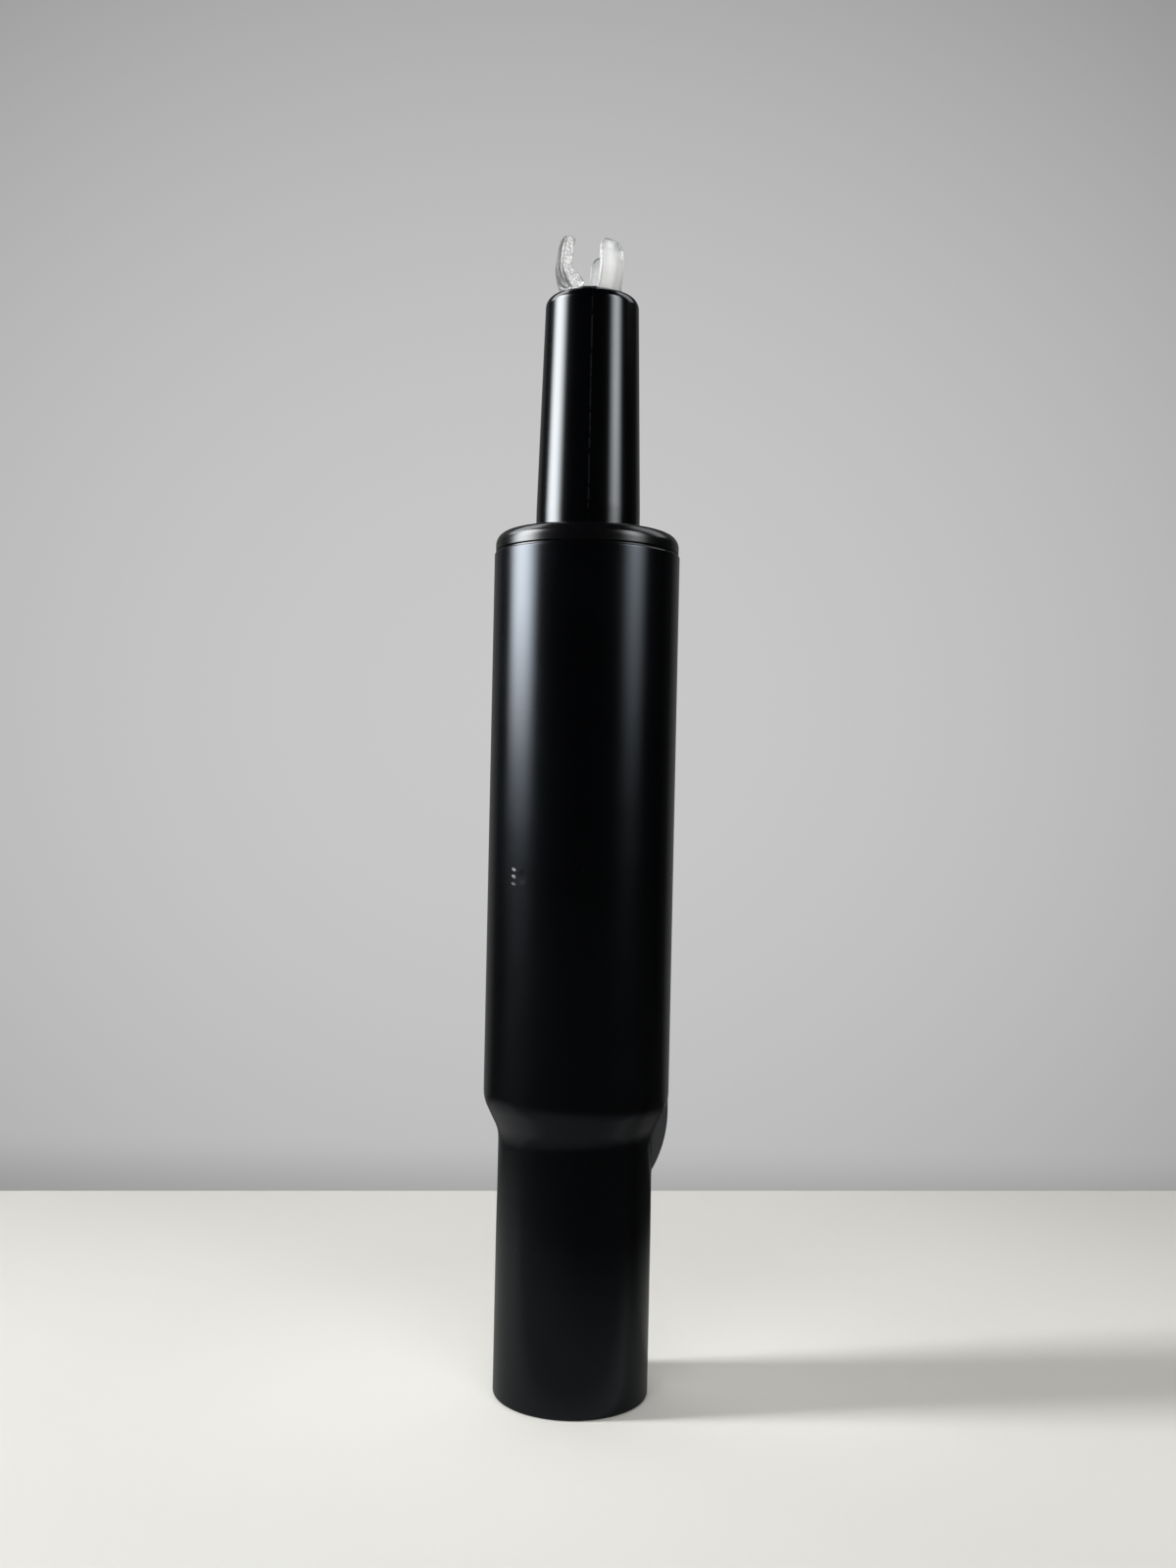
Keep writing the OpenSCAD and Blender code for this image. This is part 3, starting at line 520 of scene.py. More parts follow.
def satin_paint(name, paint, roughness, bare_patches=None):
    """Baked satin paint: fine orange peel, an uneven sheen, a few dust nibs, and bare steel in patches."""
    finish = Finish(name, IOR=1.5, Specular_IOR_Level=0.8, Specular_Tint=(0.82, 0.9, 1, 1))
    peel = finish.noise(900, 2)
    cloud = finish.noise(60, 3)
    dust = finish.add("ShaderNodeTexVoronoi", {
        "Vector": finish.place(), "Scale": 110, "Randomness": 1}, "Distance", feature="F1")
    nibs = 1 - dust.ramp(0.012, 0.03)
    bare = bare_patches(finish) if bare_patches else 0
    bare_steel = (0.3, 0.3, 0.32, 1)
    coloured = finish.blend(cloud, rgba(paint, 0.7), rgba(paint, 1.35))
    finish.set(
        Base_Color=finish.blend(bare, coloured, bare_steel),
        Metallic=bare,
        Roughness=roughness - 0.03 + cloud * 0.05 + nibs * 0.15 + bare * 0.2,
        Normal=finish.bump(peel * 0.35 + nibs - bare, 0.16, 0.05 * MM))
    return finish.material


def stake_nicks(finish, column, radius):
    """Where the punch has broken the paint: three short slanted nicks at the left edge of each stake."""
    x, y, z = finish.axes()
    half_turn = math.pi / column.stake_count
    way = finish.math("ARCTAN2", y, x) - (1.5 * math.pi - column.stake_angle)
    way = finish.math("WRAP", way, half_turn, -half_turn)
    across = (way * radius + column.nick_aside) / column.nick_w
    above = z - column.stake_z
    half_pitch = column.nick_pitch / 2
    level = finish.math("WRAP", above, half_pitch, -half_pitch) / column.nick_h + across * 0.4
    rows = 1 - abs(above).ramp(2.8 * half_pitch, 3 * half_pitch)
    ragged = finish.noise(1500, 2).ramp(0.35, 0.6)
    return (1 - (across * across + level * level).ramp(0.3, 1)) * rows * ragged


def gloss_tube(name, tube):
    """Gloss black tube: fine drawing lines along it and a weld line up its front."""
    finish = Finish(name, IOR=1.5, Specular_IOR_Level=0.8, Specular_Tint=(0.95, 0.98, 1, 1))
    x, y, _ = finish.axes()
    drawn = finish.noise(1500, 3, (1, 1, 0.03))
    peel = finish.noise(500, 2)
    cloud = finish.noise(50, 3)
    weld = (1 - abs(x).ramp(tube.seam_w * 0.3, tube.seam_w)) * (1 - y.ramp(-2 * MM, 0))
    wander = finish.noise(300, 3)
    seam = weld * wander.ramp(0.32, 0.6)
    finish.set(
        Base_Color=finish.blend(seam, rgba(tube.colour), rgba(tube.colour, 6)),
        Roughness=tube.roughness - 0.02 + cloud * 0.04 + seam * 0.25,
        Normal=finish.bump(drawn * 0.3 + peel * 0.3 + seam, 0.1, 0.04 * MM))
    return finish.material


def moulded(name, shade, roughness, grain=0.35, shine=0.5):
    """Moulded plastic: spark-eroded grain and a slightly cloudy colour."""
    finish = Finish(name, IOR=1.48, Specular_IOR_Level=shine)
    fine = finish.noise(2600, 2)
    cloud = finish.noise(90, 3)
    finish.set(
        Base_Color=finish.blend(cloud, rgba(shade, 0.8), rgba(shade, 1.25)),
        Roughness=roughness - 0.04 + cloud * 0.08,
        Normal=finish.bump(fine, grain, 0.03 * MM))
    return finish.material


def turned_metal(name, shade, roughness, lines=0.12):
    """Machined metal: fine turning lines round the axis and a slightly uneven polish."""
    finish = Finish(name, Metallic=1.0)
    ring = finish.noise(4000, 2, (0.05, 0.05, 1))
    cloud = finish.noise(120, 3)
    finish.set(
        Base_Color=finish.blend(cloud, rgba(shade, 0.85), rgba(shade, 1.1)),
        Roughness=roughness - 0.05 + cloud * 0.1,
        Normal=finish.bump(ring, lines, 0.02 * MM))
    return finish.material


def zinc_plate(name):
    """Zinc plating: bluish and yellowish passivation in soft patches over a dull bright metal."""
    finish = Finish(name, Metallic=1.0)
    patch = finish.noise(140, 4)
    fine = finish.noise(1800, 3)
    blue = (0.55, 0.59, 0.66, 1)
    straw = (0.66, 0.63, 0.54, 1)
    finish.set(
        Base_Color=finish.blend(patch.ramp(0.35, 0.65), blue, straw),
        Roughness=0.27 + patch * 0.14,
        Normal=finish.bump(fine, 0.12, 0.03 * MM))
    return finish.material


def rubber(name):
    """Black rubber: dull, with a dusty bloom in patches."""
    finish = Finish(name, IOR=1.45)
    bloom = finish.noise(200, 4)
    fine = finish.noise(2200, 3)
    black = (0.012, 0.012, 0.012, 1)
    dusty = (0.035, 0.034, 0.033, 1)
    finish.set(
        Base_Color=finish.blend(bloom.ramp(0.4, 0.75), black, dusty),
        Roughness=0.62 + bloom * 0.2,
        Normal=finish.bump(fine, 0.3, 0.05 * MM))
    return finish.material


def clear_plastic(name, shade, foot, head):
    """Clear plastic: milky where hazy, with painted shade in its round edges, both most at its foot, and
    mottled where cut.
    """
    finish = Finish(name, IOR=1.49, Transmission_Weight=1.0, Coat_IOR=1.8, Coat_Roughness=0.38)
    haze = finish.mark("haze")
    edge = finish.mark("edge")
    rise = finish.axes()[2].ramp(foot, head)
    mottle = finish.noise(1800, 3)
    flow = finish.noise(420, 3, (1, 1, 0.16))
    cut = haze.ramp(0.9, 1)
    streaks = (0.75 + flow.ramp(0.35, 0.65) * 0.25) * (1 - rise.ramp(0.5, 0.95) * 0.9)
    specks = 0.25 + mottle.ramp(0.4, 0.6) * 0.6
    # Painted shade in the round edges: darkest at the foot, lighter towards the tips
    painted_edge_shade = finish.blend(rise.ramp(0.3, 0.65), rgba(shade, 0.2), rgba(shade, 0.85))
    tint = finish.blend(mottle.ramp(0.4, 0.7), rgba(shade, 0.93), rgba(shade, 1.05))
    finish.set(
        Base_Color=finish.blend(edge * (1 - haze), tint, painted_edge_shade),
        Roughness=0.03 + flow * 0.06 + haze * (0.04 + mottle * 0.12),
        Coat_Weight=haze.ramp(0, 0.7) * (1 - edge) * (0.5 + flow.ramp(0.4, 0.6) * 0.5),
        Normal=finish.bump(flow * 0.5 + mottle * cut, 0.35, 0.1 * MM))
    frost = finish.add("ShaderNodeBsdfPrincipled", {
        "Base Color": (0.93, 0.93, 0.92, 1), "Roughness": 0.35,
        "Normal": finish.bump(mottle * cut, 0.6, 0.15 * MM)})
    finish.cover(haze * haze * (streaks + (specks - streaks) * cut), frost)
    return finish.material


# Turned and repeated pieces

def corner_arc(before, corner, after, rounding):
    """Points that round one corner of an outline."""
    if rounding == 0:
        return [corner]
    back = (before - corner).normalized()
    ahead = (after - corner).normalized()
    half = back.angle(ahead) / 2
    centre = corner + (back + ahead).normalized() * (rounding / math.sin(half))
    start = corner + back * (rounding / math.tan(half)) - centre
    turn = start.angle_signed(corner + ahead * (rounding / math.tan(half)) - centre)
    steps = max(2, math.ceil(abs(turn) / ARC_STEP))
    arc = []
    for i in range(steps + 1):
        swing = -turn * i / steps
        cos, sin = math.cos(swing), math.sin(swing)
        arc.append(centre + Vector((start.x * cos - start.y * sin, start.x * sin + start.y * cos)))
    return arc


def outline(corners):
    """Points round a closed outline of (radius, height, rounding) corners, with rows beside each bend."""
    places = [Vector(corner[:2]) for corner in corners]
    count = len(corners)
    arcs = [
        corner_arc(places[i - 1], places[i], places[(i + 1) % count], corners[i][2])
        for i in range(count)]
    points = []
    for arc, following in zip(arcs, arcs[1:] + arcs[:1]):
        points += arc
        run = following[0] - arc[-1]
        if run.length > 4 * HOLD:
            points.append(arc[-1] + run.normalized() * HOLD)
            points.append(following[0] - run.normalized() * HOLD)
    return points


def with_rows(points, first, last, step):
    """Add rows between two heights where the outline runs straight past them."""
    rows = []
    for here, following in zip(points, points[1:] + points[:1]):
        rows.append(here)
        if here.y < first and following.y > last:
            count = math.ceil((last - first) / step)
            for i in range(count + 1):
                level = first + (last - first) * i / count
                rows.append(here.lerp(following, (level - here.y) / (following.y - here.y)))
    return rows


def turning_tree():
    """Nodes that turn an outline, drawn in x and z, about the Z axis."""
    tree = Shapes("Turn an outline")
    drawn = tree.input("Outline", "Geometry")
    points = tree.input("Points", "Int")
    path_r = tree.input("Path radius", "Float")
    material = tree.input("Material", "Material")
    x, _, z = tree.split(tree.add("GeometryNodeInputPosition"))
    flat = tree.vector(x - path_r, -z)
    profile = tree.add("GeometryNodeMeshToCurve", {"Mesh": drawn})
    profile = tree.add("GeometryNodeSetPosition", {"Geometry": profile, "Position": flat})
    path = tree.add("GeometryNodeCurvePrimitiveCircle", {"Resolution": points, "Radius": path_r})
    swept = tree.add("GeometryNodeCurveToMesh", {"Curve": path, "Profile Curve": profile})
    merged = tree.add("GeometryNodeMergeByDistance", {"Geometry": swept, "Distance": TURNED_WELD})
    smooth = tree.add("GeometryNodeSetShadeSmooth", {"Geometry": merged})
    return tree.end(smooth, material)


def ribs_tree():
    """Nodes that set ribs round a sleeve and join them to it."""
    tree = Shapes("Rib a sleeve")
    sleeve = tree.input("Sleeve", "Geometry")
    count = tree.input("Count", "Int")
    inner_r = tree.input("Inner radius", "Float")
    outer_r = tree.input("Outer radius", "Float")
    thickness = tree.input("Thickness", "Float")
    foot = tree.input("Foot", "Float")
    height = tree.input("Height", "Float")
    material = tree.input("Material", "Material")
    rib = tree.add("GeometryNodeMeshCube", {"Size": tree.vector(outer_r - inner_r, thickness, height)})
    ring = tree.add("GeometryNodeMeshCircle", {"Vertices": count, "Radius": (inner_r + outer_r) * 0.5})
    facing = tree.add("FunctionNodeAlignRotationToVector", {
        "Vector": tree.add("GeometryNodeInputPosition")}, axis="X")
    ribs = tree.add("GeometryNodeInstanceOnPoints", {"Points": ring, "Instance": rib, "Rotation": facing})
    ribs = tree.add("GeometryNodeTranslateInstances", {
        "Instances": ribs, "Translation": tree.vector(z=foot + height * 0.5)})
    ribs = tree.add("GeometryNodeRealizeInstances", {"Geometry": ribs})
    joined = tree.add(
        "GeometryNodeMeshBoolean", {"Mesh 2": [ribs, sleeve]}, operation="UNION", solver="EXACT")
    return tree.end(joined, material)


def balls_tree():
    """Nodes that set balls round a circle."""
    tree = Shapes("Balls on a circle")
    tree.input("Start", "Geometry")
    count = tree.input("Count", "Int")
    circle_r = tree.input("Circle radius", "Float")
    ball_r = tree.input("Ball radius", "Float")
    height = tree.input("Height", "Float")
    material = tree.input("Material", "Material")
    ball = tree.add("GeometryNodeMeshUVSphere", {
        "Segments": BALL_POINTS, "Rings": BALL_POINTS // 2, "Radius": ball_r})
    ball = tree.add("GeometryNodeSetShadeSmooth", {"Geometry": ball})
    circle = tree.add("GeometryNodeMeshCircle", {"Vertices": count, "Radius": circle_r})
    circle = tree.add("GeometryNodeSetPosition", {"Geometry": circle, "Offset": tree.vector(z=height)})
    balls = tree.add("GeometryNodeInstanceOnPoints", {"Points": circle, "Instance": ball})
    return tree.end(balls, material)


def shaped(piece, tree, **inputs):
    """Run a geometry tree on a piece with the inputs named, and keep the result as its plain mesh."""
    modifier = piece.modifiers.new(tree.name, "NODES")
    modifier.node_group = tree
    for item in tree.interface.items_tree:
        name = item.name.replace(" ", "_").lower()
        if item.in_out == "INPUT" and name in inputs:
            modifier[item.identifier] = inputs[name]
    settle(piece)
    return piece


def settle(piece):
    """Turn a piece and its modifiers into a plain closed mesh whose faces point outwards."""
    depsgraph = bpy.context.evaluated_depsgraph_get()
    made = bpy.data.meshes.new_from_object(piece.evaluated_get(depsgraph))
    piece.modifiers.clear()
    piece.data = made
    work = bmesh.new()
    work.from_mesh(made)
    bmesh.ops.remove_doubles(work, verts=work.verts, dist=WELD)
    spare = [v for v in work.verts if len(v.link_edges) == 2 and v.calc_edge_angle() < STRAIGHT_ANGLE]
    bmesh.ops.dissolve_verts(work, verts=spare)
    bmesh.ops.recalc_face_normals(work, faces=work.faces)
    work.to_mesh(made)
    work.free()
    made.shade_smooth()
    made.set_sharp_from_angle(angle=SHARP_ANGLE)


def new_piece(name, points=(), edges=(), faces=()):
    """A new object at the origin with the mesh given."""
    mesh = bpy.data.meshes.new(name)
    mesh.from_pydata(points, edges, faces)
    piece = bpy.data.objects.new(name, mesh)
    bpy.context.scene.collection.objects.link(piece)
    return piece


def turned(name, corners, points, material):
    """A piece turned from a closed outline, with that many points round it."""
    count = len(corners)
    piece = new_piece(
        name, [(corner.x, 0, corner.y) for corner in corners], [(i, (i + 1) % count) for i in range(count)])
    tree = bpy.data.node_groups.get("Turn an outline") or turning_tree()
    return shaped(piece, tree, points=points, path_radius=SWEEP_R, material=material)


def fit(piece, body, slot, *nodes):
    """Let a piece stand for its nodes and ride on their body; slot is not used."""
    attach(piece, body)
    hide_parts(*nodes)


def dress(material, slot, *nodes):
    """Give carried-over nodes a finish."""
    for name in nodes:
        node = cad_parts[name]
        node.material_slots[0].material = material


# Column

def shoulder_top(column, radius):
    """Height at which the shoulder ends in the column's straight wall."""
    lean = column.shoulder_angle
    step = radius - column.neck_r
    cone_w = step - 2 * column.shoulder_r * (1 - math.cos(lean))
    return column.shoulder_z + 2 * column.shoulder_r * math.sin(lean) + cone_w / math.tan(lean)


def shoulder_corners(column, radius, inset):
    """The two corners of the shoulder's line; inset is how far it lies inside the outer surface."""
    half_lean = math.tan(column.shoulder_angle / 2)
    bend_low = column.shoulder_r + inset
    bend_high = column.shoulder_r - inset
    return [
        (column.neck_r - inset, column.shoulder_z + bend_low * half_lean, bend_low),
        (radius - inset, shoulder_top(column, radius) - bend_high * half_lean, bend_high)]


def press_stakes(piece, column, radius):
    """Press the stakes into the outer and inner walls of the column."""
    for i in range(column.stake_count):
        way = 1.5 * math.pi - column.stake_angle + 2 * math.pi * i / column.stake_count
        out = Vector((math.cos(way), math.sin(way), 0))
        nose = out * (radius + column.stake_r - column.stake_depth) + Vector((0, 0, column.stake_z))
        for vertex in piece.data.vertices:
            from_axis = Vector((vertex.co.x, vertex.co.y, 0))
            outer = from_axis.length > radius - column.wall / 2
            ball = column.stake_r if outer else column.stake_r + column.wall
            gap = vertex.co - nose
            if gap.length < ball:
                along = from_axis.normalized()
                across = gap - along * gap.dot(along)
                depth = math.sqrt(max(0, ball ** 2 - across.length_squared)) + gap.dot(along)
                vertex.co -= along * max(0, depth)


class GASLIFT_OT_column_tube(bpy.types.Operator):
    """Stepped column with its S-shaped shoulder, rolled foot and stakes"""

    bl_idname = "gas_lift.column_tube"
    bl_label = "Column tube"

    def execute(self, context):
        column = context.scene.gas_lift.column
        radius = reach("column_tube")
        rim = top("column_tube") - context.scene.gas_lift.sleeve.seam_drop
        bore_r = radius - column.wall
        spigot_bore_r = column.neck_r - column.wall
        outer_neck, outer_wall = shoulder_corners(column, radius, 0)
        inner_neck, inner_wall = shoulder_corners(column, radius, column.wall)
        corners = outline([
            (column.foot_bore_r, 0, SOFT), (column.seat_r, 0, column.foot_r),
            (column.seat_r, column.seat_h - column.seat_run, column.seat_blend),
            (column.neck_r, column.seat_h, column.seat_blend),
            outer_neck, outer_wall,
            (radius, rim, column.rim_r), (bore_r, rim, BROKEN),
            inner_wall, inner_neck,
            (spigot_bore_r, column.wall, CRISP), (column.foot_bore_r, column.wall, SOFT)])
        dimple_r = math.sqrt(2 * column.stake_r * column.stake_depth)
        span = 1.5 * dimple_r
        corners = with_rows(corners, column.stake_z - span, column.stake_z + span, STAKE_ROW)
        paint = satin_paint(
            "Satin paint", column.paint, column.roughness,
            lambda finish: stake_nicks(finish, column, radius))
        piece = turned("column_shell", corners, COLUMN_POINTS, paint)
        press_stakes(piece, column, radius)
        fit(piece, "column", "column_paint", "column_tube")
        return {"FINISHED"}


def radius_at(line, z):
    """Largest radius of an outline at a height."""
    found = [0.0]
    for here, following in zip(line, line[1:] + line[:1]):
        if min(here.y, following.y) <= z <= max(here.y, following.y) and here.y != following.y:
            found.append(here.lerp(following, (z - here.y) / (following.y - here.y)).x)
    return max(found)


def turn(x, y, z, way):
    """A point turned about the axis."""
    cos, sin = math.cos(way), math.sin(way)
    return (x * cos - y * sin, x * sin + y * cos, z)


def block_faces(rows, columns):
    """Faces of a block whose points run row by row, an outer line and then an inner line each."""
    width = columns + 1

    def at(row, side, j):
        return row * 2 * width + side * width + j

    faces = []
    for i in range(rows):
        for j in range(columns):
            faces.append((at(i, 0, j), at(i, 0, j + 1), at(i + 1, 0, j + 1), at(i + 1, 0, j)))
            faces.append((at(i, 1, j + 1), at(i, 1, j), at(i + 1, 1, j), at(i + 1, 1, j + 1)))
        faces.append((at(i, 1, 0), at(i, 0, 0), at(i + 1, 0, 0), at(i + 1, 1, 0)))
        faces.append((at(i, 0, columns), at(i, 1, columns), at(i + 1, 1, columns), at(i + 1, 0, columns)))
    for j in range(columns):
        faces.append((at(0, 0, j + 1), at(0, 0, j), at(0, 1, j), at(0, 1, j + 1)))
        faces.append((at(rows, 0, j), at(rows, 0, j + 1), at(rows, 1, j + 1), at(rows, 1, j)))
    return faces


class GASLIFT_OT_shoulder_key(bpy.types.Operator):
    """Key in the angle of the shoulder, flush with the column"""

    bl_idname = "gas_lift.shoulder_key"
    bl_label = "Shoulder key"

    def execute(self, context):
        column = context.scene.gas_lift.column
        points = self.key_points(column, reach("column_tube"), low("shoulder_key"), top("shoulder_key"))
        piece = new_piece("shoulder_lug", points, (), block_faces(KEY_ROWS, KEY_COLUMNS))
        settle(piece)
        # Lighter key paint, partly painted light where the column shades the key
        piece.data.materials.append(satin_paint("Key paint", column.key_paint, column.key_roughness))
        fit(piece, "column", "column_paint", "shoulder_key")
        return {"FINISHED"}

    def key_points(self, column, radius, foot, head):
        """Points of the key: in each row its curved outer edge, and its inner side along the shoulder."""
        neck, wall = shoulder_corners(column, radius, 0)
        rim = top("column_tube")
        line = outline([(0, foot, 0), (neck[0], foot, 0), neck, wall, (radius, rim, 0), (0, rim, 0)])
        edge_z = shoulder_top(column, radius) - column.key_drop
        half = column.key_w / 2
        points = []
        for i in range(KEY_ROWS + 1):
            z = foot + (head - foot) * i / KEY_ROWS
            drop = max(0, edge_z - z)
            edge_r = radius - column.key_edge_r + math.sqrt(column.key_edge_r ** 2 - drop ** 2)
            seat_r = radius_at(line, z) + column.key_gap
            for r, rounding in ((edge_r, column.key_edge), (seat_r, 0)):
                for j in range(KEY_COLUMNS + 1):
                    s = -half * math.cos(math.pi * j / KEY_COLUMNS)
                    into = max(0, abs(s) - half + rounding)
                    lower = rounding - math.sqrt(rounding ** 2 - into ** 2)
                    out = max(r - lower, seat_r + column.key_least) if rounding else r
                    points.append(turn(math.sqrt(out ** 2 - s ** 2), s, z, column.key_angle))
        return points


# Guide sleeve

class GASLIFT_OT_guide_sleeve(bpy.types.Operator):
    """Moulded guide sleeve: ribbed inside the column, with the collar on its rim"""

    bl_idname = "gas_lift.guide_sleeve"
    bl_label = "Guide sleeve"

    def execute(self, context):
        sleeve = context.scene.gas_lift.sleeve
        foot, head = low("guide_sleeve"), top("guide_sleeve")
        rim = top("column_tube") - sleeve.seam_drop
        collar_r = reach("guide_sleeve")
        collar_z = rim + sleeve.seam_h
        middle = (foot + rim - sleeve.ring_h) / 2
        land, barrel, lead = sleeve.land_r, sleeve.barrel_r, sleeve.bore_r + sleeve.lead
        corners = outline([
            (lead, foot, CRISP), (land, foot, SOFT),
            (land, foot + sleeve.land_h, BROKEN), (barrel, foot + sleeve.land_h, SOFT),
            (barrel, middle, SOFT), (land, middle, BROKEN),
            (land, middle + sleeve.ring_h, BROKEN), (barrel, middle + sleeve.ring_h, SOFT),
            (barrel, rim - sleeve.land_h, SOFT), (land, rim - sleeve.land_h, BROKEN),
            (land, rim, 0), (sleeve.seam_r, rim, 0), (sleeve.seam_r, collar_z, FINE),
            (collar_r, collar_z, sleeve.collar_foot), (collar_r, head, sleeve.collar_r),
            (lead, head, sleeve.lead_r), (sleeve.bore_r, head - sleeve.lead, BROKEN),
            (sleeve.bore_r, foot + sleeve.lead, CRISP)])
        plastic = moulded("Sleeve moulding", sleeve.colour, sleeve.roughness, grain=0.12, shine=0.8)
        piece = turned("sleeve_moulding", corners, SLEEVE_POINTS, plastic)
        shaped(
            piece, ribs_tree(), count=sleeve.rib_count, inner_radius=barrel - sleeve.rib_root,
            outer_radius=land - sleeve.rib_drop, thickness=sleeve.rib_w, foot=foot + sleeve.rib_stop,
            height=rim - foot - 2 * sleeve.rib_stop, material=plastic)
        fit(piece, "column", "sleeve_moulding", "guide_sleeve")
        return {"FINISHED"}


# Pressure tube and release

class GASLIFT_OT_pressure_tube(bpy.types.Operator):
    """Gloss pressure tube, tapered to its rounded top"""

    bl_idname = "gas_lift.pressure_tube"
    bl_label = "Pressure tube"

    def execute(self, context):
        tube = context.scene.gas_lift.tube
        radius, foot, head = reach("pressure_tube"), low("pressure_tube"), top("pressure_tube")
        bore_r = radius - tube.wall
        lip_r = bore_r - tube.crimp_w
        narrowing = (head - tube.taper_z) * math.tan(tube.taper_angle)
        corners = outline([
            (lip_r, foot, BROKEN), (radius, foot, tube.wall), (radius, tube.taper_z, tube.taper_r),
            (radius - narrowing, head, tube.crown_r), (tube.mouth_r, head, FINE),
            (tube.mouth_r, head - tube.wall, CRISP), (bore_r - narrowing, head - tube.wall, BROKEN),
            (bore_r, tube.taper_z, 0), (bore_r, foot + tube.wall, BROKEN),
            (lip_r, foot + tube.wall, BROKEN)])
        piece = turned("tapered_tube", corners, TUBE_POINTS, gloss_tube("Gloss tube", tube))
        fit(piece, "cylinder", "tube_gloss", "pressure_tube")
        return {"FINISHED"}


class GASLIFT_OT_release(bpy.types.Operator):
    """Release button in its well, in the mouth of the pressure tube"""

    bl_idname = "gas_lift.release"
    bl_label = "Release button"

    def execute(self, context):
        settings = context.scene.gas_lift
        self.make_button(settings.release, settings.colours)
        self.make_valve_body(settings.release, settings.tube, settings.colours)
        return {"FINISHED"}

    def make_button(self, release, colours):
        """Turn the button, hollow for the peg of the release pin."""
        radius, foot, head = reach("release_button"), low("release_button"), top("release_button")
        cap_z = head - release.cap_h
        corners = outline([
            (release.peg_r, foot, FINE), (radius, foot, CRISP), (radius, head, release.button_edge),
            (0, head, 0), (0, cap_z, 0), (release.peg_r, cap_z, FINE)])
        steel = turned_metal("Button steel", colours.steel, roughness=0.22)
        button = turned("button_cap", corners, SMALL_POINTS, steel)
        fit(button, "release", "pin_steel", "release_button")

    def make_valve_body(self, release, tube, colours):
        """Turn the valve body with the button's well, the pin's bore and the seal's pocket."""
        radius, foot, head = reach("valve_body"), low("valve_body"), top("valve_body")
        narrowing = (head - tube.taper_z) * math.tan(tube.taper_angle)
        pocket_z = foot + release.pocket_h
        corners = outline([
            (release.pocket_r, foot, FINE), (radius, foot, FINE), (radius, tube.taper_z, 0),
            (radius - narrowing, head, CRISP), (release.well_r, head, BROKEN),
            (release.well_r, release.well_z, BROKEN), (release.pin_r, release.well_z, CRISP),
            (release.pin_r, pocket_z, 0), (release.pocket_r, pocket_z, FINE)])
        plastic = moulded("Valve moulding", colours.valve, roughness=0.4)
        body = turned("valve_moulding", corners, SMALL_POINTS, plastic)
        fit(body, "cylinder", "white_moulding", "valve_body")


# Button guard

def run_out(way):
    """Falls softly from 1 to 0 as way goes from 0 to 1, and is 0 beyond."""
    return (1 + math.cos(math.pi * min(1, way))) / 2


def finger_rows(guard, finger):
    """Half width and height of a finger, row by row from the base ring to its tip."""
    half = finger.width / 2
    tip_r = min(guard.tip_r, half - guard.tip_flat)
    rows = []
    for i in range(FINGER_STEPS + 1):
        z = guard.ring_h + (guard.flare_h - guard.ring_h) * i / FINGER_STEPS
        rows.append((half + finger.flare * run_out(z / guard.flare_h), z))
    for i in range(FINGER_STEPS + 1):
        swing = math.pi / 2 * i / FINGER_STEPS
        z = finger.height - tip_r + tip_r * math.sin(swing)
        rows.append((half - tip_r + tip_r * math.cos(swing), z))
    return rows


def guard_radii(guard, finger, z):
    """Outer and inner radius of a finger's wall, or of the ring under it, at a height above the seat."""
    tallest = guard.left.height
    above = max(0, z - guard.ring_h)
    outer = guard.ring_r + finger.swell * math.sin(math.pi * above / (tallest - guard.ring_h))
    inner = outer - guard.wall - (guard.tip_wall - guard.wall) * z / tallest
    gusset = min(above, finger.gusset * run_out(above / guard.gusset_h))
    return outer, inner - gusset


def finger_spans(guard, finger, half, z):
    """Half angles that a finger of that half width takes up on the outer and the inner wall."""
    outer, inner = guard_radii(guard, finger, z)
    outer_span = math.asin(half / outer)
    inner_span = math.asin(min(1, half / inner))
    return outer_span, min(inner_span, outer_span + finger.lean)


def round_section(half_w, half_h, rounding):
    """Points round a rectangle with round corners, and what starts at each: wall, edge or cut side."""
    corner = min(rounding, ROUND_SHARE * half_w, ROUND_SHARE * half_h)
    section = []
    for quarter, (side, wall) in enumerate(((1, 1), (-1, 1), (-1, -1), (1, -1))):
        after = "cut" if quarter % 2 else "wall"
        for i in range(CORNER_STEPS + 1):
            swing = math.pi / 2 * (quarter + i / CORNER_STEPS)
            section.append((
                side * (half_w - corner) + corner * math.cos(swing),
                wall * (half_h - corner) + corner * math.sin(swing),
                "edge" if i < CORNER_STEPS else after))
        if after == "wall":
            start, level = section[-1][:2]
            for i in range(1, WALL_STEPS):
                section.append((start * (1 - 2 * i / WALL_STEPS), level, "wall"))
    return section


def finger_loop(guard, finger, half, z, rounding):
    """Points round a finger at one height, and what starts at each: wall, edge or cut side."""
    outer, inner = guard_radii(guard, finger, z)
    outer_span, inner_span = finger_spans(guard, finger, half, z)
    rise = ROUND_SHARE * max(0, z - finger.height + guard.tip_edge) / guard.tip_edge
    half_wall = (outer - inner) / 2 * math.sqrt(1 - rise ** 2)
    grown = (z - guard.ring_h) / (finger.height - guard.ring_h)
    loop = []
    for across, through, side in round_section(half, half_wall, rounding):
        span = inner_span + (outer_span - inner_span) * (through / (outer - inner) + 0.5)
        way = finger.facing + across / half * span
        radius = (outer + inner) / 2 + through
        tilt = finger.slant * across / (finger.width / 2) * grown ** 2
        loop.append(((radius * math.cos(way), radius * math.sin(way), z + tilt), side))
    return loop


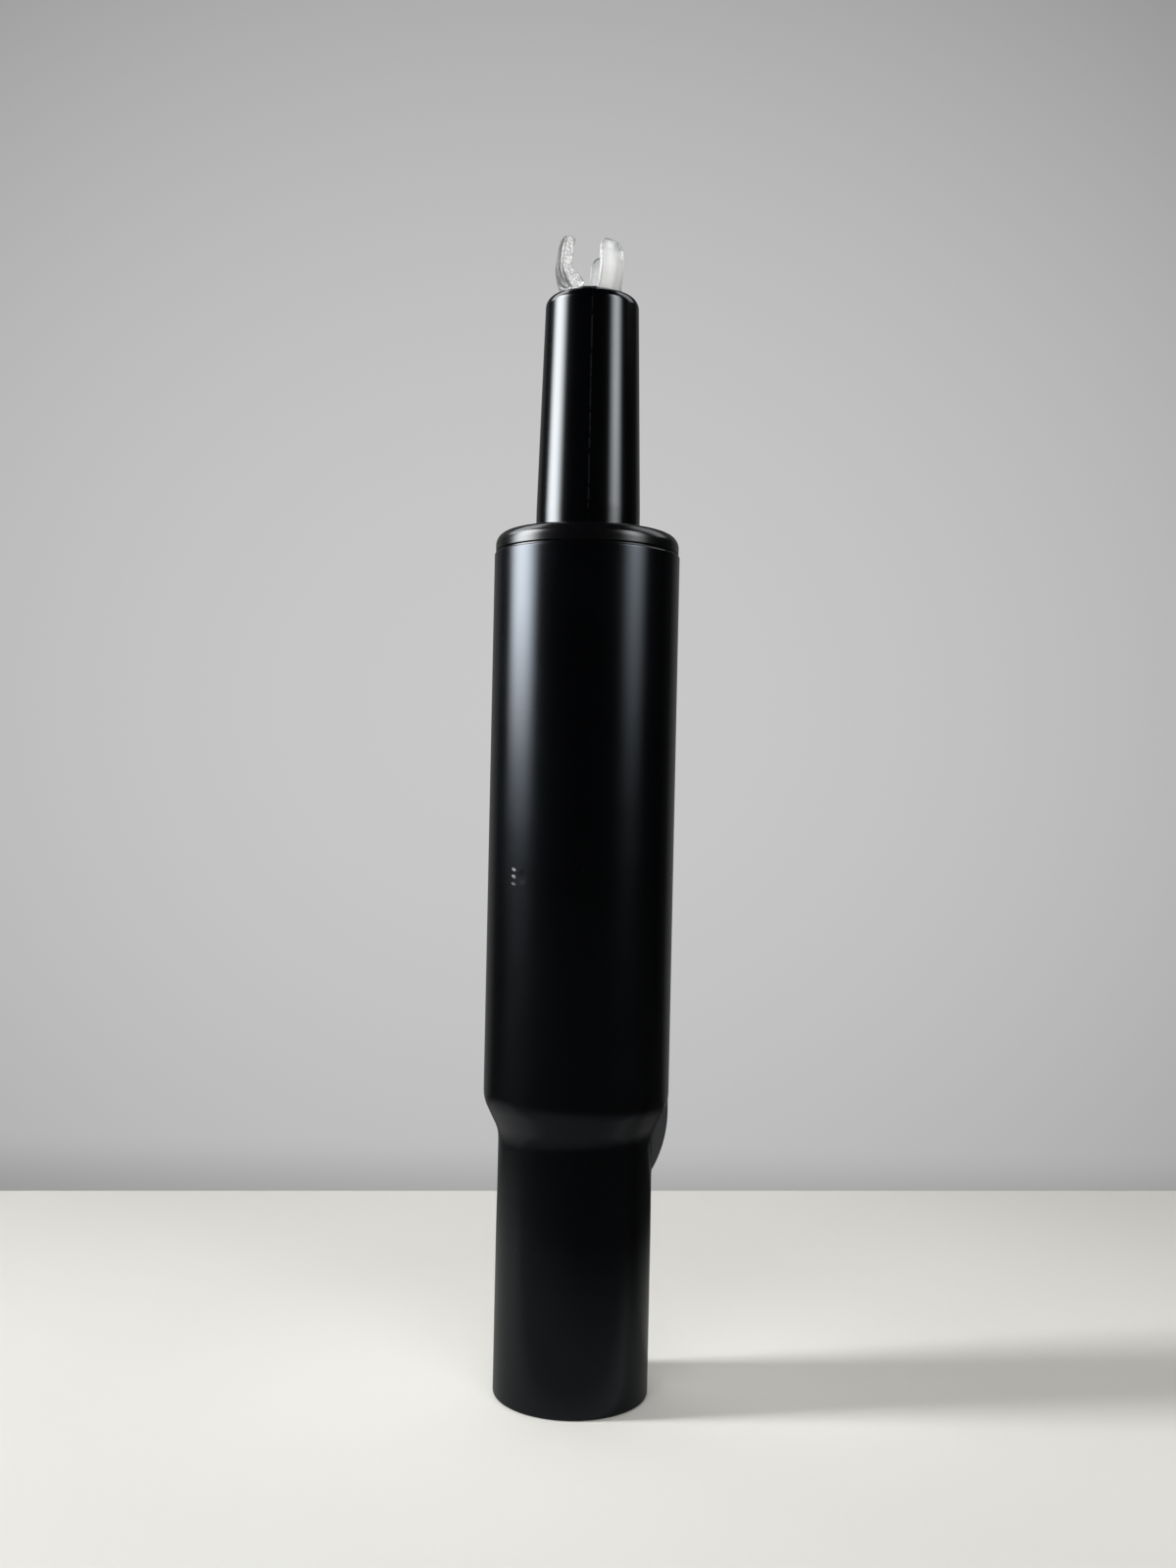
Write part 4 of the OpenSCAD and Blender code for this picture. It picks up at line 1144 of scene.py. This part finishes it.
def ring_ways(guard, fingers):
    """Angles of the ring's points, outer and inner: under each finger, then under the gap after it."""
    ways = []
    for finger, after in zip(fingers, fingers[1:] + fingers[:1]):
        spans = finger_spans(guard, finger, finger_rows(guard, finger)[0][0], guard.ring_h)
        next_spans = finger_spans(guard, after, finger_rows(guard, after)[0][0], guard.ring_h)
        lap = 2 * math.pi if after.facing < finger.facing else 0
        for j in range(WALL_STEPS):
            ways.append([finger.facing + (2 * j / WALL_STEPS - 1) * span for span in spans])
        for j in range(WALL_STEPS):
            starts = [finger.facing + span for span in spans]
            ends = [after.facing + lap - span for span in next_spans]
            ways.append([start + (end - start) * j / WALL_STEPS for start, end in zip(starts, ends)])
    return ways


class Skin:
    """Points and faces of the guard, and how hazy each face is and whether it is a round edge."""

    def __init__(self, seat_z):
        self.seat_z = seat_z
        self.points = []
        self.faces = []
        self.marks = {"haze": [], "edge": []}

    def point(self, x, y, z):
        """Add a point at a height above the seat, and return its number."""
        self.points.append((x, y, self.seat_z + z))
        return len(self.points) - 1

    def face(self, corners, haze=0, edge=0):
        """Add a face between points."""
        self.faces.append(corners)
        self.marks["haze"].append(haze)
        self.marks["edge"].append(edge)

    def add_ring(self, guard, fingers):
        """Add the base ring, open at the top under the fingers."""
        ways = ring_ways(guard, fingers)
        levels = []
        for z in (0, guard.ring_h / 2, guard.ring_h):
            radii = guard_radii(guard, guard.left, z)
            levels.append([
                [self.point(*turn(r, 0, z, way)) for r, way in zip(radii, pair)]
                for pair in ways])
        foot, head = levels[0], levels[-1]
        for j in range(len(ways)):
            n = (j + 1) % len(ways)
            for lower, upper in zip(levels, levels[1:]):
                self.face((lower[j][0], lower[n][0], upper[n][0], upper[j][0]))
                self.face((lower[n][1], lower[j][1], upper[j][1], upper[n][1]))
            self.face((foot[n][0], foot[j][0], foot[j][1], foot[n][1]))
            in_gap = (j // WALL_STEPS) % 2
            if in_gap:
                self.face((head[j][0], head[n][0], head[n][1], head[j][1]))

    def add_finger(self, guard, finger):
        """Add a finger, from its square foot on the ring to its closed tip."""
        haze = {"wall": finger.haze, "edge": finger.haze / 2, "cut": guard.cut_haze}
        lower = None
        for half, z in finger_rows(guard, finger):
            loop = finger_loop(guard, finger, half, z, guard.edge_r if lower else 0)
            upper = [self.point(*place) for place, side in loop]
            if lower:
                for i, (place, side) in enumerate(loop):
                    n = (i + 1) % len(loop)
                    self.face((lower[i], lower[n], upper[n], upper[i]), haze[side], side == "edge")
            lower = upper
        self.face(tuple(lower), finger.haze)


class GASLIFT_OT_button_guard(bpy.types.Operator):
    """Clear guard with three fingers round the release button"""

    bl_idname = "gas_lift.button_guard"
    bl_label = "Button guard"

    def execute(self, context):
        guard = context.scene.gas_lift.guard
        seat_z, tip_z = low("button_guard"), top("button_guard")
        fingers = sorted((guard.left, guard.right, guard.back), key=lambda finger: finger.facing)
        skin = Skin(seat_z)
        skin.add_ring(guard, fingers)
        for finger in fingers:
            skin.add_finger(guard, finger)
        piece = new_piece("clear_guard", skin.points, (), skin.faces)
        for name, values in skin.marks.items():
            piece.data.attributes.new(name, "FLOAT", "FACE").data.foreach_set("value", values)
        settle(piece)
        piece.data.materials.append(clear_plastic("Clear moulding", guard.colour, seat_z, tip_z))
        fit(piece, "guard", "clear_moulding", "button_guard")
        return {"FINISHED"}


# Underside and inside

class GASLIFT_OT_rod_foot(bpy.types.Operator):
    """Base cup, washer, clip and rod in the foot of the column"""

    bl_idname = "gas_lift.rod_foot"
    bl_label = "Rod foot"

    def execute(self, context):
        settings = context.scene.gas_lift
        zinc = zinc_plate("Zinc plating")
        self.make_cup(settings.foot, zinc)
        self.make_washer(settings.foot, zinc)
        dress(zinc, "zinc_plate", "rod_clip")
        self.make_rod(settings.foot, turned_metal("Ground rod", settings.colours.rod, roughness=0.17))
        return {"FINISHED"}

    def make_cup(self, sizes, zinc):
        """Turn the pressed cup, a hat with a flange."""
        flange_r, foot, head = reach("base_cup"), low("base_cup"), top("base_cup")
        sheet, bend, hole_r = sizes.sheet, sizes.bend, sizes.hole_r
        inner_r, outer_r = sizes.pocket_r, sizes.pocket_r + sheet
        corners = outline([
            (hole_r, head - sheet, CRISP), (inner_r, head - sheet, bend),
            (inner_r, foot, bend + sheet), (flange_r, foot, BROKEN),
            (flange_r, foot + sheet, BROKEN), (outer_r, foot + sheet, bend),
            (outer_r, head, bend + sheet), (hole_r, head, CRISP)])
        cup = turned("pressed_cup", corners, CUP_POINTS, zinc)
        fit(cup, "column", "zinc_plate", "base_cup")

    def make_washer(self, sizes, zinc):
        """Turn the stamped washer under the cup."""
        radius, foot, head = reach("rod_washer"), low("rod_washer"), top("rod_washer")
        corners = outline([
            (sizes.washer_hole_r, foot, sizes.washer_hole_edge), (radius, foot, sizes.washer_roll),
            (radius, head, CRISP), (sizes.washer_hole_r, head, sizes.washer_hole_edge)])
        washer = turned("foot_washer", corners, SMALL_POINTS, zinc)
        fit(washer, "rod", "zinc_plate", "rod_washer")

    def make_rod(self, sizes, steel):
        """Turn the piston rod with its centre hole, clip groove, shoulder and stepped end."""
        radius, foot, head = reach("piston_rod"), low("piston_rod"), top("piston_rod")
        groove_z, groove_top = low("rod_clip"), top("rod_clip")
        shoulder_z, piston_z = low("bump_stop"), low("piston")
        corners = outline([
            (0, foot + sizes.centre_r, 0), (sizes.centre_r, foot, FINE), (sizes.rod_r, foot, SOFT),
            (sizes.rod_r, groove_z, FINE), (sizes.groove_r, groove_z, 0), (sizes.groove_r, groove_top, 0),
            (sizes.rod_r, groove_top, FINE), (sizes.rod_r, shoulder_z, 0), (radius, shoulder_z, CRISP),
            (radius, piston_z, CRISP), (sizes.end_r, piston_z, 0), (sizes.end_r, head, sizes.end_edge),
            (0, head, 0)])
        rod = turned("ground_rod", corners, SMALL_POINTS, steel)
        fit(rod, "rod", "rod_chrome", "piston_rod")


class GASLIFT_OT_thrust_bearing(bpy.types.Operator):
    """Balls, cage, races and bump stop of the swivel"""

    bl_idname = "gas_lift.thrust_bearing"
    bl_label = "Thrust bearing"

    def execute(self, context):
        bearing = context.scene.gas_lift.bearing
        colours = context.scene.gas_lift.colours
        ball_r = (top("bearing_balls") - low("bearing_balls")) / 2
        steel = turned_metal("Bearing steel", colours.bearing, roughness=0.14, lines=0.05)
        balls = new_piece("bearing_ball_set")
        shaped(
            balls, balls_tree(), count=bearing.ball_count, circle_radius=bearing.circle_r,
            ball_radius=ball_r, height=low("bearing_balls") + ball_r, material=steel)
        fit(balls, "bearing", "bearing_steel", "bearing_balls")
        dress(steel, "bearing_steel", "lower_race", "upper_race")
        dress(turned_metal("Cage brass", colours.brass, roughness=0.3), "brass", "ball_cage")
        dress(zinc_plate("Washer plating"), "zinc_plate", "buffer_washer")
        dress(rubber("Bump rubber"), "black_rubber", "bump_stop")
        return {"FINISHED"}


class GASLIFT_OT_gas_spring(bpy.types.Operator):
    """Finishes of the piston, seals, valve and cylinder inside the pressure tube"""

    bl_idname = "gas_lift.gas_spring"
    bl_label = "Gas spring"

    def execute(self, context):
        colours = context.scene.gas_lift.colours
        alloy = turned_metal("Piston alloy", colours.alloy, roughness=0.32)
        dress(alloy, "alloy", "piston", "inner_cylinder")
        seals = ("piston_ring", "rod_seal", "flange_seal", "pin_seal", "tip_seal")
        dress(rubber("Seal rubber"), "black_rubber", *seals)
        fasteners = ("piston_washer", "piston_nut", "end_ring", "seal_washer")
        dress(zinc_plate("Fastener plating"), "zinc_plate", *fasteners)
        plastic = moulded("Bush moulding", colours.bush, roughness=0.42)
        dress(plastic, "white_moulding", "rod_guide", "stop_bush")
        dress(turned_metal("Valve brass", colours.brass, roughness=0.28), "brass", "valve_seat")
        dress(turned_metal("Pin steel", colours.steel, roughness=0.22), "pin_steel", "release_pin")
        return {"FINISHED"}


# Studio

def aim(thing, target, roll=0.0):
    """Turn a camera or a lamp towards a point."""
    way = Vector(target) - thing.location
    thing.rotation_mode = "QUATERNION"
    thing.rotation_quaternion = way.to_track_quat("-Z", "Y") @ Quaternion((0, 0, 1), roll)


def hang_lamp(lamp):
    """Hang a rectangular soft lamp, which lights the part or only shows in its gloss."""
    light = bpy.data.lights.new(lamp.name, "AREA")
    light.shape = "RECTANGLE"
    light.size, light.size_y = lamp.size
    light.energy = lamp.power
    light.color = lamp.tint
    if lamp.side_fade:
        fade_edges(light, lamp)
    hung = bpy.data.objects.new(lamp.name, light)
    right, front = lamp.distance * math.sin(lamp.azimuth), lamp.distance * math.cos(lamp.azimuth)
    hung.location = (right, -front, lamp.height)
    hung.visible_camera = False
    hung.visible_diffuse = not lamp.gloss_only
    hung.visible_glossy = lamp.gloss_only
    bpy.context.scene.collection.objects.link(hung)
    if lamp.distance:
        aim(hung, (0, 0, lamp.aim_z))


def fade_edges(light, lamp):
    """Fade a lamp towards its sides and its foot."""
    light.use_nodes = True
    tree = NodeTree(light.node_tree)
    across, up, _ = tree.split(tree.add("ShaderNodeNewGeometry", None, "Parametric"))
    from_side = 1 - abs(across * 2 - 1)
    strength = from_side.ramp(0, lamp.side_fade) * up.ramp(0, lamp.foot_fade)
    tree.feed(light.node_tree.nodes["Emission"].inputs["Strength"], strength)


def panel(name, material, corners):
    """A flat panel of the stage."""
    piece = new_piece(name, corners, (), [tuple(range(len(corners)))])
    piece.data.materials.append(material)


def floor_finish(shade):
    """Pale laminate, faintly clouded, with a painted pool of light round the part, painted shade behind it,
    and painted shade in gloss.
    """
    finish = Finish("Floor laminate", IOR=1.45, Specular_IOR_Level=0.0)
    x, y, _ = finish.axes()
    cloud = finish.noise(3, 3)
    away = (x * x + y * y) ** 0.5
    # Painted shade darkens the floor towards its back edge, less so straight behind the part
    aside = abs(x - 0.02).ramp(0.04, 0.22)
    behind = y.ramp(0, 0.25) * (0.3 + aside * 0.7)
    clouded = finish.blend(cloud, rgba(shade, 0.985), rgba(shade, 1.01))
    painted_back_shade = finish.blend(behind, clouded, rgba(shade, 0.8))
    # Painted pool of light round the foot of the part
    seen = finish.blend(away.ramp(0.01, 0.14), rgba(shade, 1.14), painted_back_shade)
    # Painted shade in the floor as gloss shows it: dim near the foot, dimmer just in front of it, nearly
    # black farther out
    in_front = (-y).ramp(0.015, 0.045)
    near_reflection_shade = finish.blend(in_front, rgba(shade, 0.34), rgba(shade, 0.17))
    far = (away - y * 0.15 + x * 0.35).ramp(0.05, 0.24)
    painted_reflection_shade = finish.blend(far, near_reflection_shade, rgba(shade, 0.03))
    finish.set(
        Base_Color=finish.blend(finish.ray("Glossy"), seen, painted_reflection_shade),
        Roughness=0.5 + cloud * 0.1)
    return finish.material


def backdrop_finish(shade):
    """Grey backdrop with a painted pool of light and painted shade along its foot.

    It glows for the camera and through clear plastic, and only dimly in gloss.
    """
    finish = Finish("Backdrop", Roughness=1.0, Base_Color=rgba(shade))
    x, _, z = finish.axes()
    # Painted pool of light on the backdrop, a little left of the part and above it
    aside = x + 0.06
    above = z - 0.25
    pool = 1 - aside * aside * 0.5 - above * above * 0.65
    # Painted shade along the foot, just above the floor's edge
    foot = 1 - z.ramp(-0.215, -0.15)
    level = finish.math("MAXIMUM", pool * (1 - foot * 0.26), 0.1)
    tint = finish.blend(level, (0, 0, 0, 1), rgba(shade))
    glow = finish.add("ShaderNodeEmission", {"Color": tint})
    dim = finish.add("ShaderNodeEmission", {"Color": tint, "Strength": 0.33})
    direct = finish.math("MAXIMUM", finish.ray("Camera"), finish.ray("Transmission"))
    finish.cover(finish.ray("Glossy"), dim)
    finish.cover(direct, glow)
    return finish.material


class GASLIFT_OT_studio(bpy.types.Operator):
    """Pale floor, grey backdrop, soft lamps and the camera"""

    bl_idname = "gas_lift.studio"
    bl_label = "Studio"

    def execute(self, context):
        studio = context.scene.gas_lift.studio
        context.scene.view_settings.view_transform = "Standard"
        self.set_camera(context, studio)
        self.lay_floor(studio)
        for lamp in studio.lamps:
            hang_lamp(lamp)
        self.light_evenly(context, studio)
        return {"FINISHED"}

    def set_camera(self, context, studio):
        """Place the camera at eye level in front of the part."""
        view = bpy.data.cameras.new("Camera")
        view.lens = studio.lens
        view.shift_y = studio.shift
        camera = bpy.data.objects.new("Camera", view)
        camera.location = (studio.aside, -studio.distance, studio.eye_z)
        aim(camera, (studio.aside, 0, studio.eye_z), studio.roll)
        context.scene.collection.objects.link(camera)
        context.scene.camera = camera

    def lay_floor(self, studio):
        """Lay the floor up to its back edge and stand the backdrop behind it."""
        side, edge_y = studio.floor_reach, studio.edge_y
        skew = side * math.tan(studio.edge_turn)
        panel("floor", floor_finish(studio.floor), [
            (-side, -side, 0), (side, -side, 0), (side, edge_y + skew, 0), (-side, edge_y - skew, 0)])
        wide, wall_y, foot = studio.wall_reach, studio.wall_y, studio.wall_foot
        panel("backdrop", backdrop_finish(studio.wall), [
            (-wide, wall_y, foot), (wide, wall_y, foot), (wide, wall_y, wide), (-wide, wall_y, wide)])

    def light_evenly(self, context, studio):
        """Add a faint even light from all round; past the backdrop the camera sees the backdrop's grey."""
        world = bpy.data.worlds.new("Studio")
        context.scene.world = world
        world.use_nodes = True
        sky = NodeTree(world.node_tree)
        seen = sky.ray("Camera")
        background = world.node_tree.nodes["Background"]
        sky.feed(background.inputs["Color"], (1, 1, 1, 1))
        sky.feed(background.inputs["Strength"], seen * studio.wall[0] + (1 - seen) * studio.ambient)


class GASLIFT_PT_pieces(bpy.types.Panel):
    """Lists the pieces of the gas lift"""

    bl_label = "Gas lift"
    bl_idname = "GASLIFT_PT_pieces"
    bl_space_type = "VIEW_3D"
    bl_region_type = "UI"
    bl_category = "Gas lift"

    def draw(self, context):
        for operator in OPERATORS:
            self.layout.operator(operator.bl_idname)


SETTINGS = (
    ColumnSettings, SleeveSettings, TubeSettings, ReleaseSettings, FingerSettings, GuardSettings,
    FootSettings, BearingSettings, ColourSettings, LampSettings, StudioSettings, GasLiftSettings,
)
OPERATORS = (
    GASLIFT_OT_column_tube, GASLIFT_OT_shoulder_key, GASLIFT_OT_guide_sleeve,
    GASLIFT_OT_pressure_tube, GASLIFT_OT_release, GASLIFT_OT_button_guard,
    GASLIFT_OT_rod_foot, GASLIFT_OT_thrust_bearing, GASLIFT_OT_gas_spring, GASLIFT_OT_studio,
)
CLASSES = (*SETTINGS, *OPERATORS, GASLIFT_PT_pieces)


def register():
    for item in CLASSES:
        bpy.utils.register_class(item)
    bpy.types.Scene.gas_lift = group(GasLiftSettings, "Gas lift", "All settings of the gas lift")


def unregister():
    del bpy.types.Scene.gas_lift
    for item in reversed(CLASSES):
        bpy.utils.unregister_class(item)


def give(settings, **values):
    """Give several settings of one group their values."""
    for name, value in values.items():
        setattr(settings, name, value)


def set_fingers(guard):
    """Give the three fingers of the guard their own places and sizes."""
    give(
        guard.left, facing=194 * DEG, height=17.6 * MM, width=7 * MM, flare=1.7 * MM,
        lean=18 * DEG, swell=1.7 * MM, gusset=3.4 * MM)
    give(
        guard.right, facing=307 * DEG, height=15.6 * MM, width=7.4 * MM, flare=0.3 * MM,
        slant=-0.5 * MM, swell=0.9 * MM, haze=0.9)
    give(
        guard.back, facing=77 * DEG, height=15.3 * MM, width=6 * MM, flare=0.5 * MM,
        slant=-0.6 * MM, swell=0.9 * MM, haze=0.5)


def set_lamps(lamps):
    """Add the lamps: key, front and top light the part, and the others show in its gloss."""
    cool = (0.95, 0.975, 1)
    upper_part = 0.23
    give(
        lamps.add(), name="Key", azimuth=-83 * DEG, height=1.01, aim_z=1.01, size=(0.332, 1.48),
        power=55, tint=(0.97, 0.985, 1))
    give(
        lamps.add(), name="Key sheen", azimuth=-85 * DEG, size=(1.9, 1.66), power=129, tint=cool,
        gloss_only=True, side_fade=0.9, foot_fade=0.24)
    give(
        lamps.add(), name="Fill sheen", azimuth=61.5 * DEG, size=(1.36, 1.66), power=43,
        tint=(0.96, 0.98, 1), gloss_only=True, side_fade=1, foot_fade=0.5)
    for name, azimuth, power in (("Left back", -125, 17), ("Right back", 125, 8)):
        give(
            lamps.add(), name=name, azimuth=azimuth * DEG, distance=1.4, height=1.5,
            aim_z=upper_part, size=(1.5, 1.2), power=power, tint=cool, gloss_only=True)
    give(
        lamps.add(), name="Front", azimuth=2 * DEG, height=1, aim_z=upper_part, size=(3, 1.2), power=35)
    give(lamps.add(), name="Top", distance=0, height=1.6, power=4.2)


def main():
    """Register the add-on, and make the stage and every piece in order."""
    register()
    settings = bpy.context.scene.gas_lift
    set_fingers(settings.guard)
    set_lamps(settings.studio.lamps)
    bpy.ops.gas_lift.studio()
    bpy.ops.gas_lift.column_tube()
    bpy.ops.gas_lift.shoulder_key()
    bpy.ops.gas_lift.guide_sleeve()
    bpy.ops.gas_lift.pressure_tube()
    bpy.ops.gas_lift.release()
    bpy.ops.gas_lift.button_guard()
    bpy.ops.gas_lift.rod_foot()
    bpy.ops.gas_lift.thrust_bearing()
    bpy.ops.gas_lift.gas_spring()


if __name__ == "__main__":
    main()
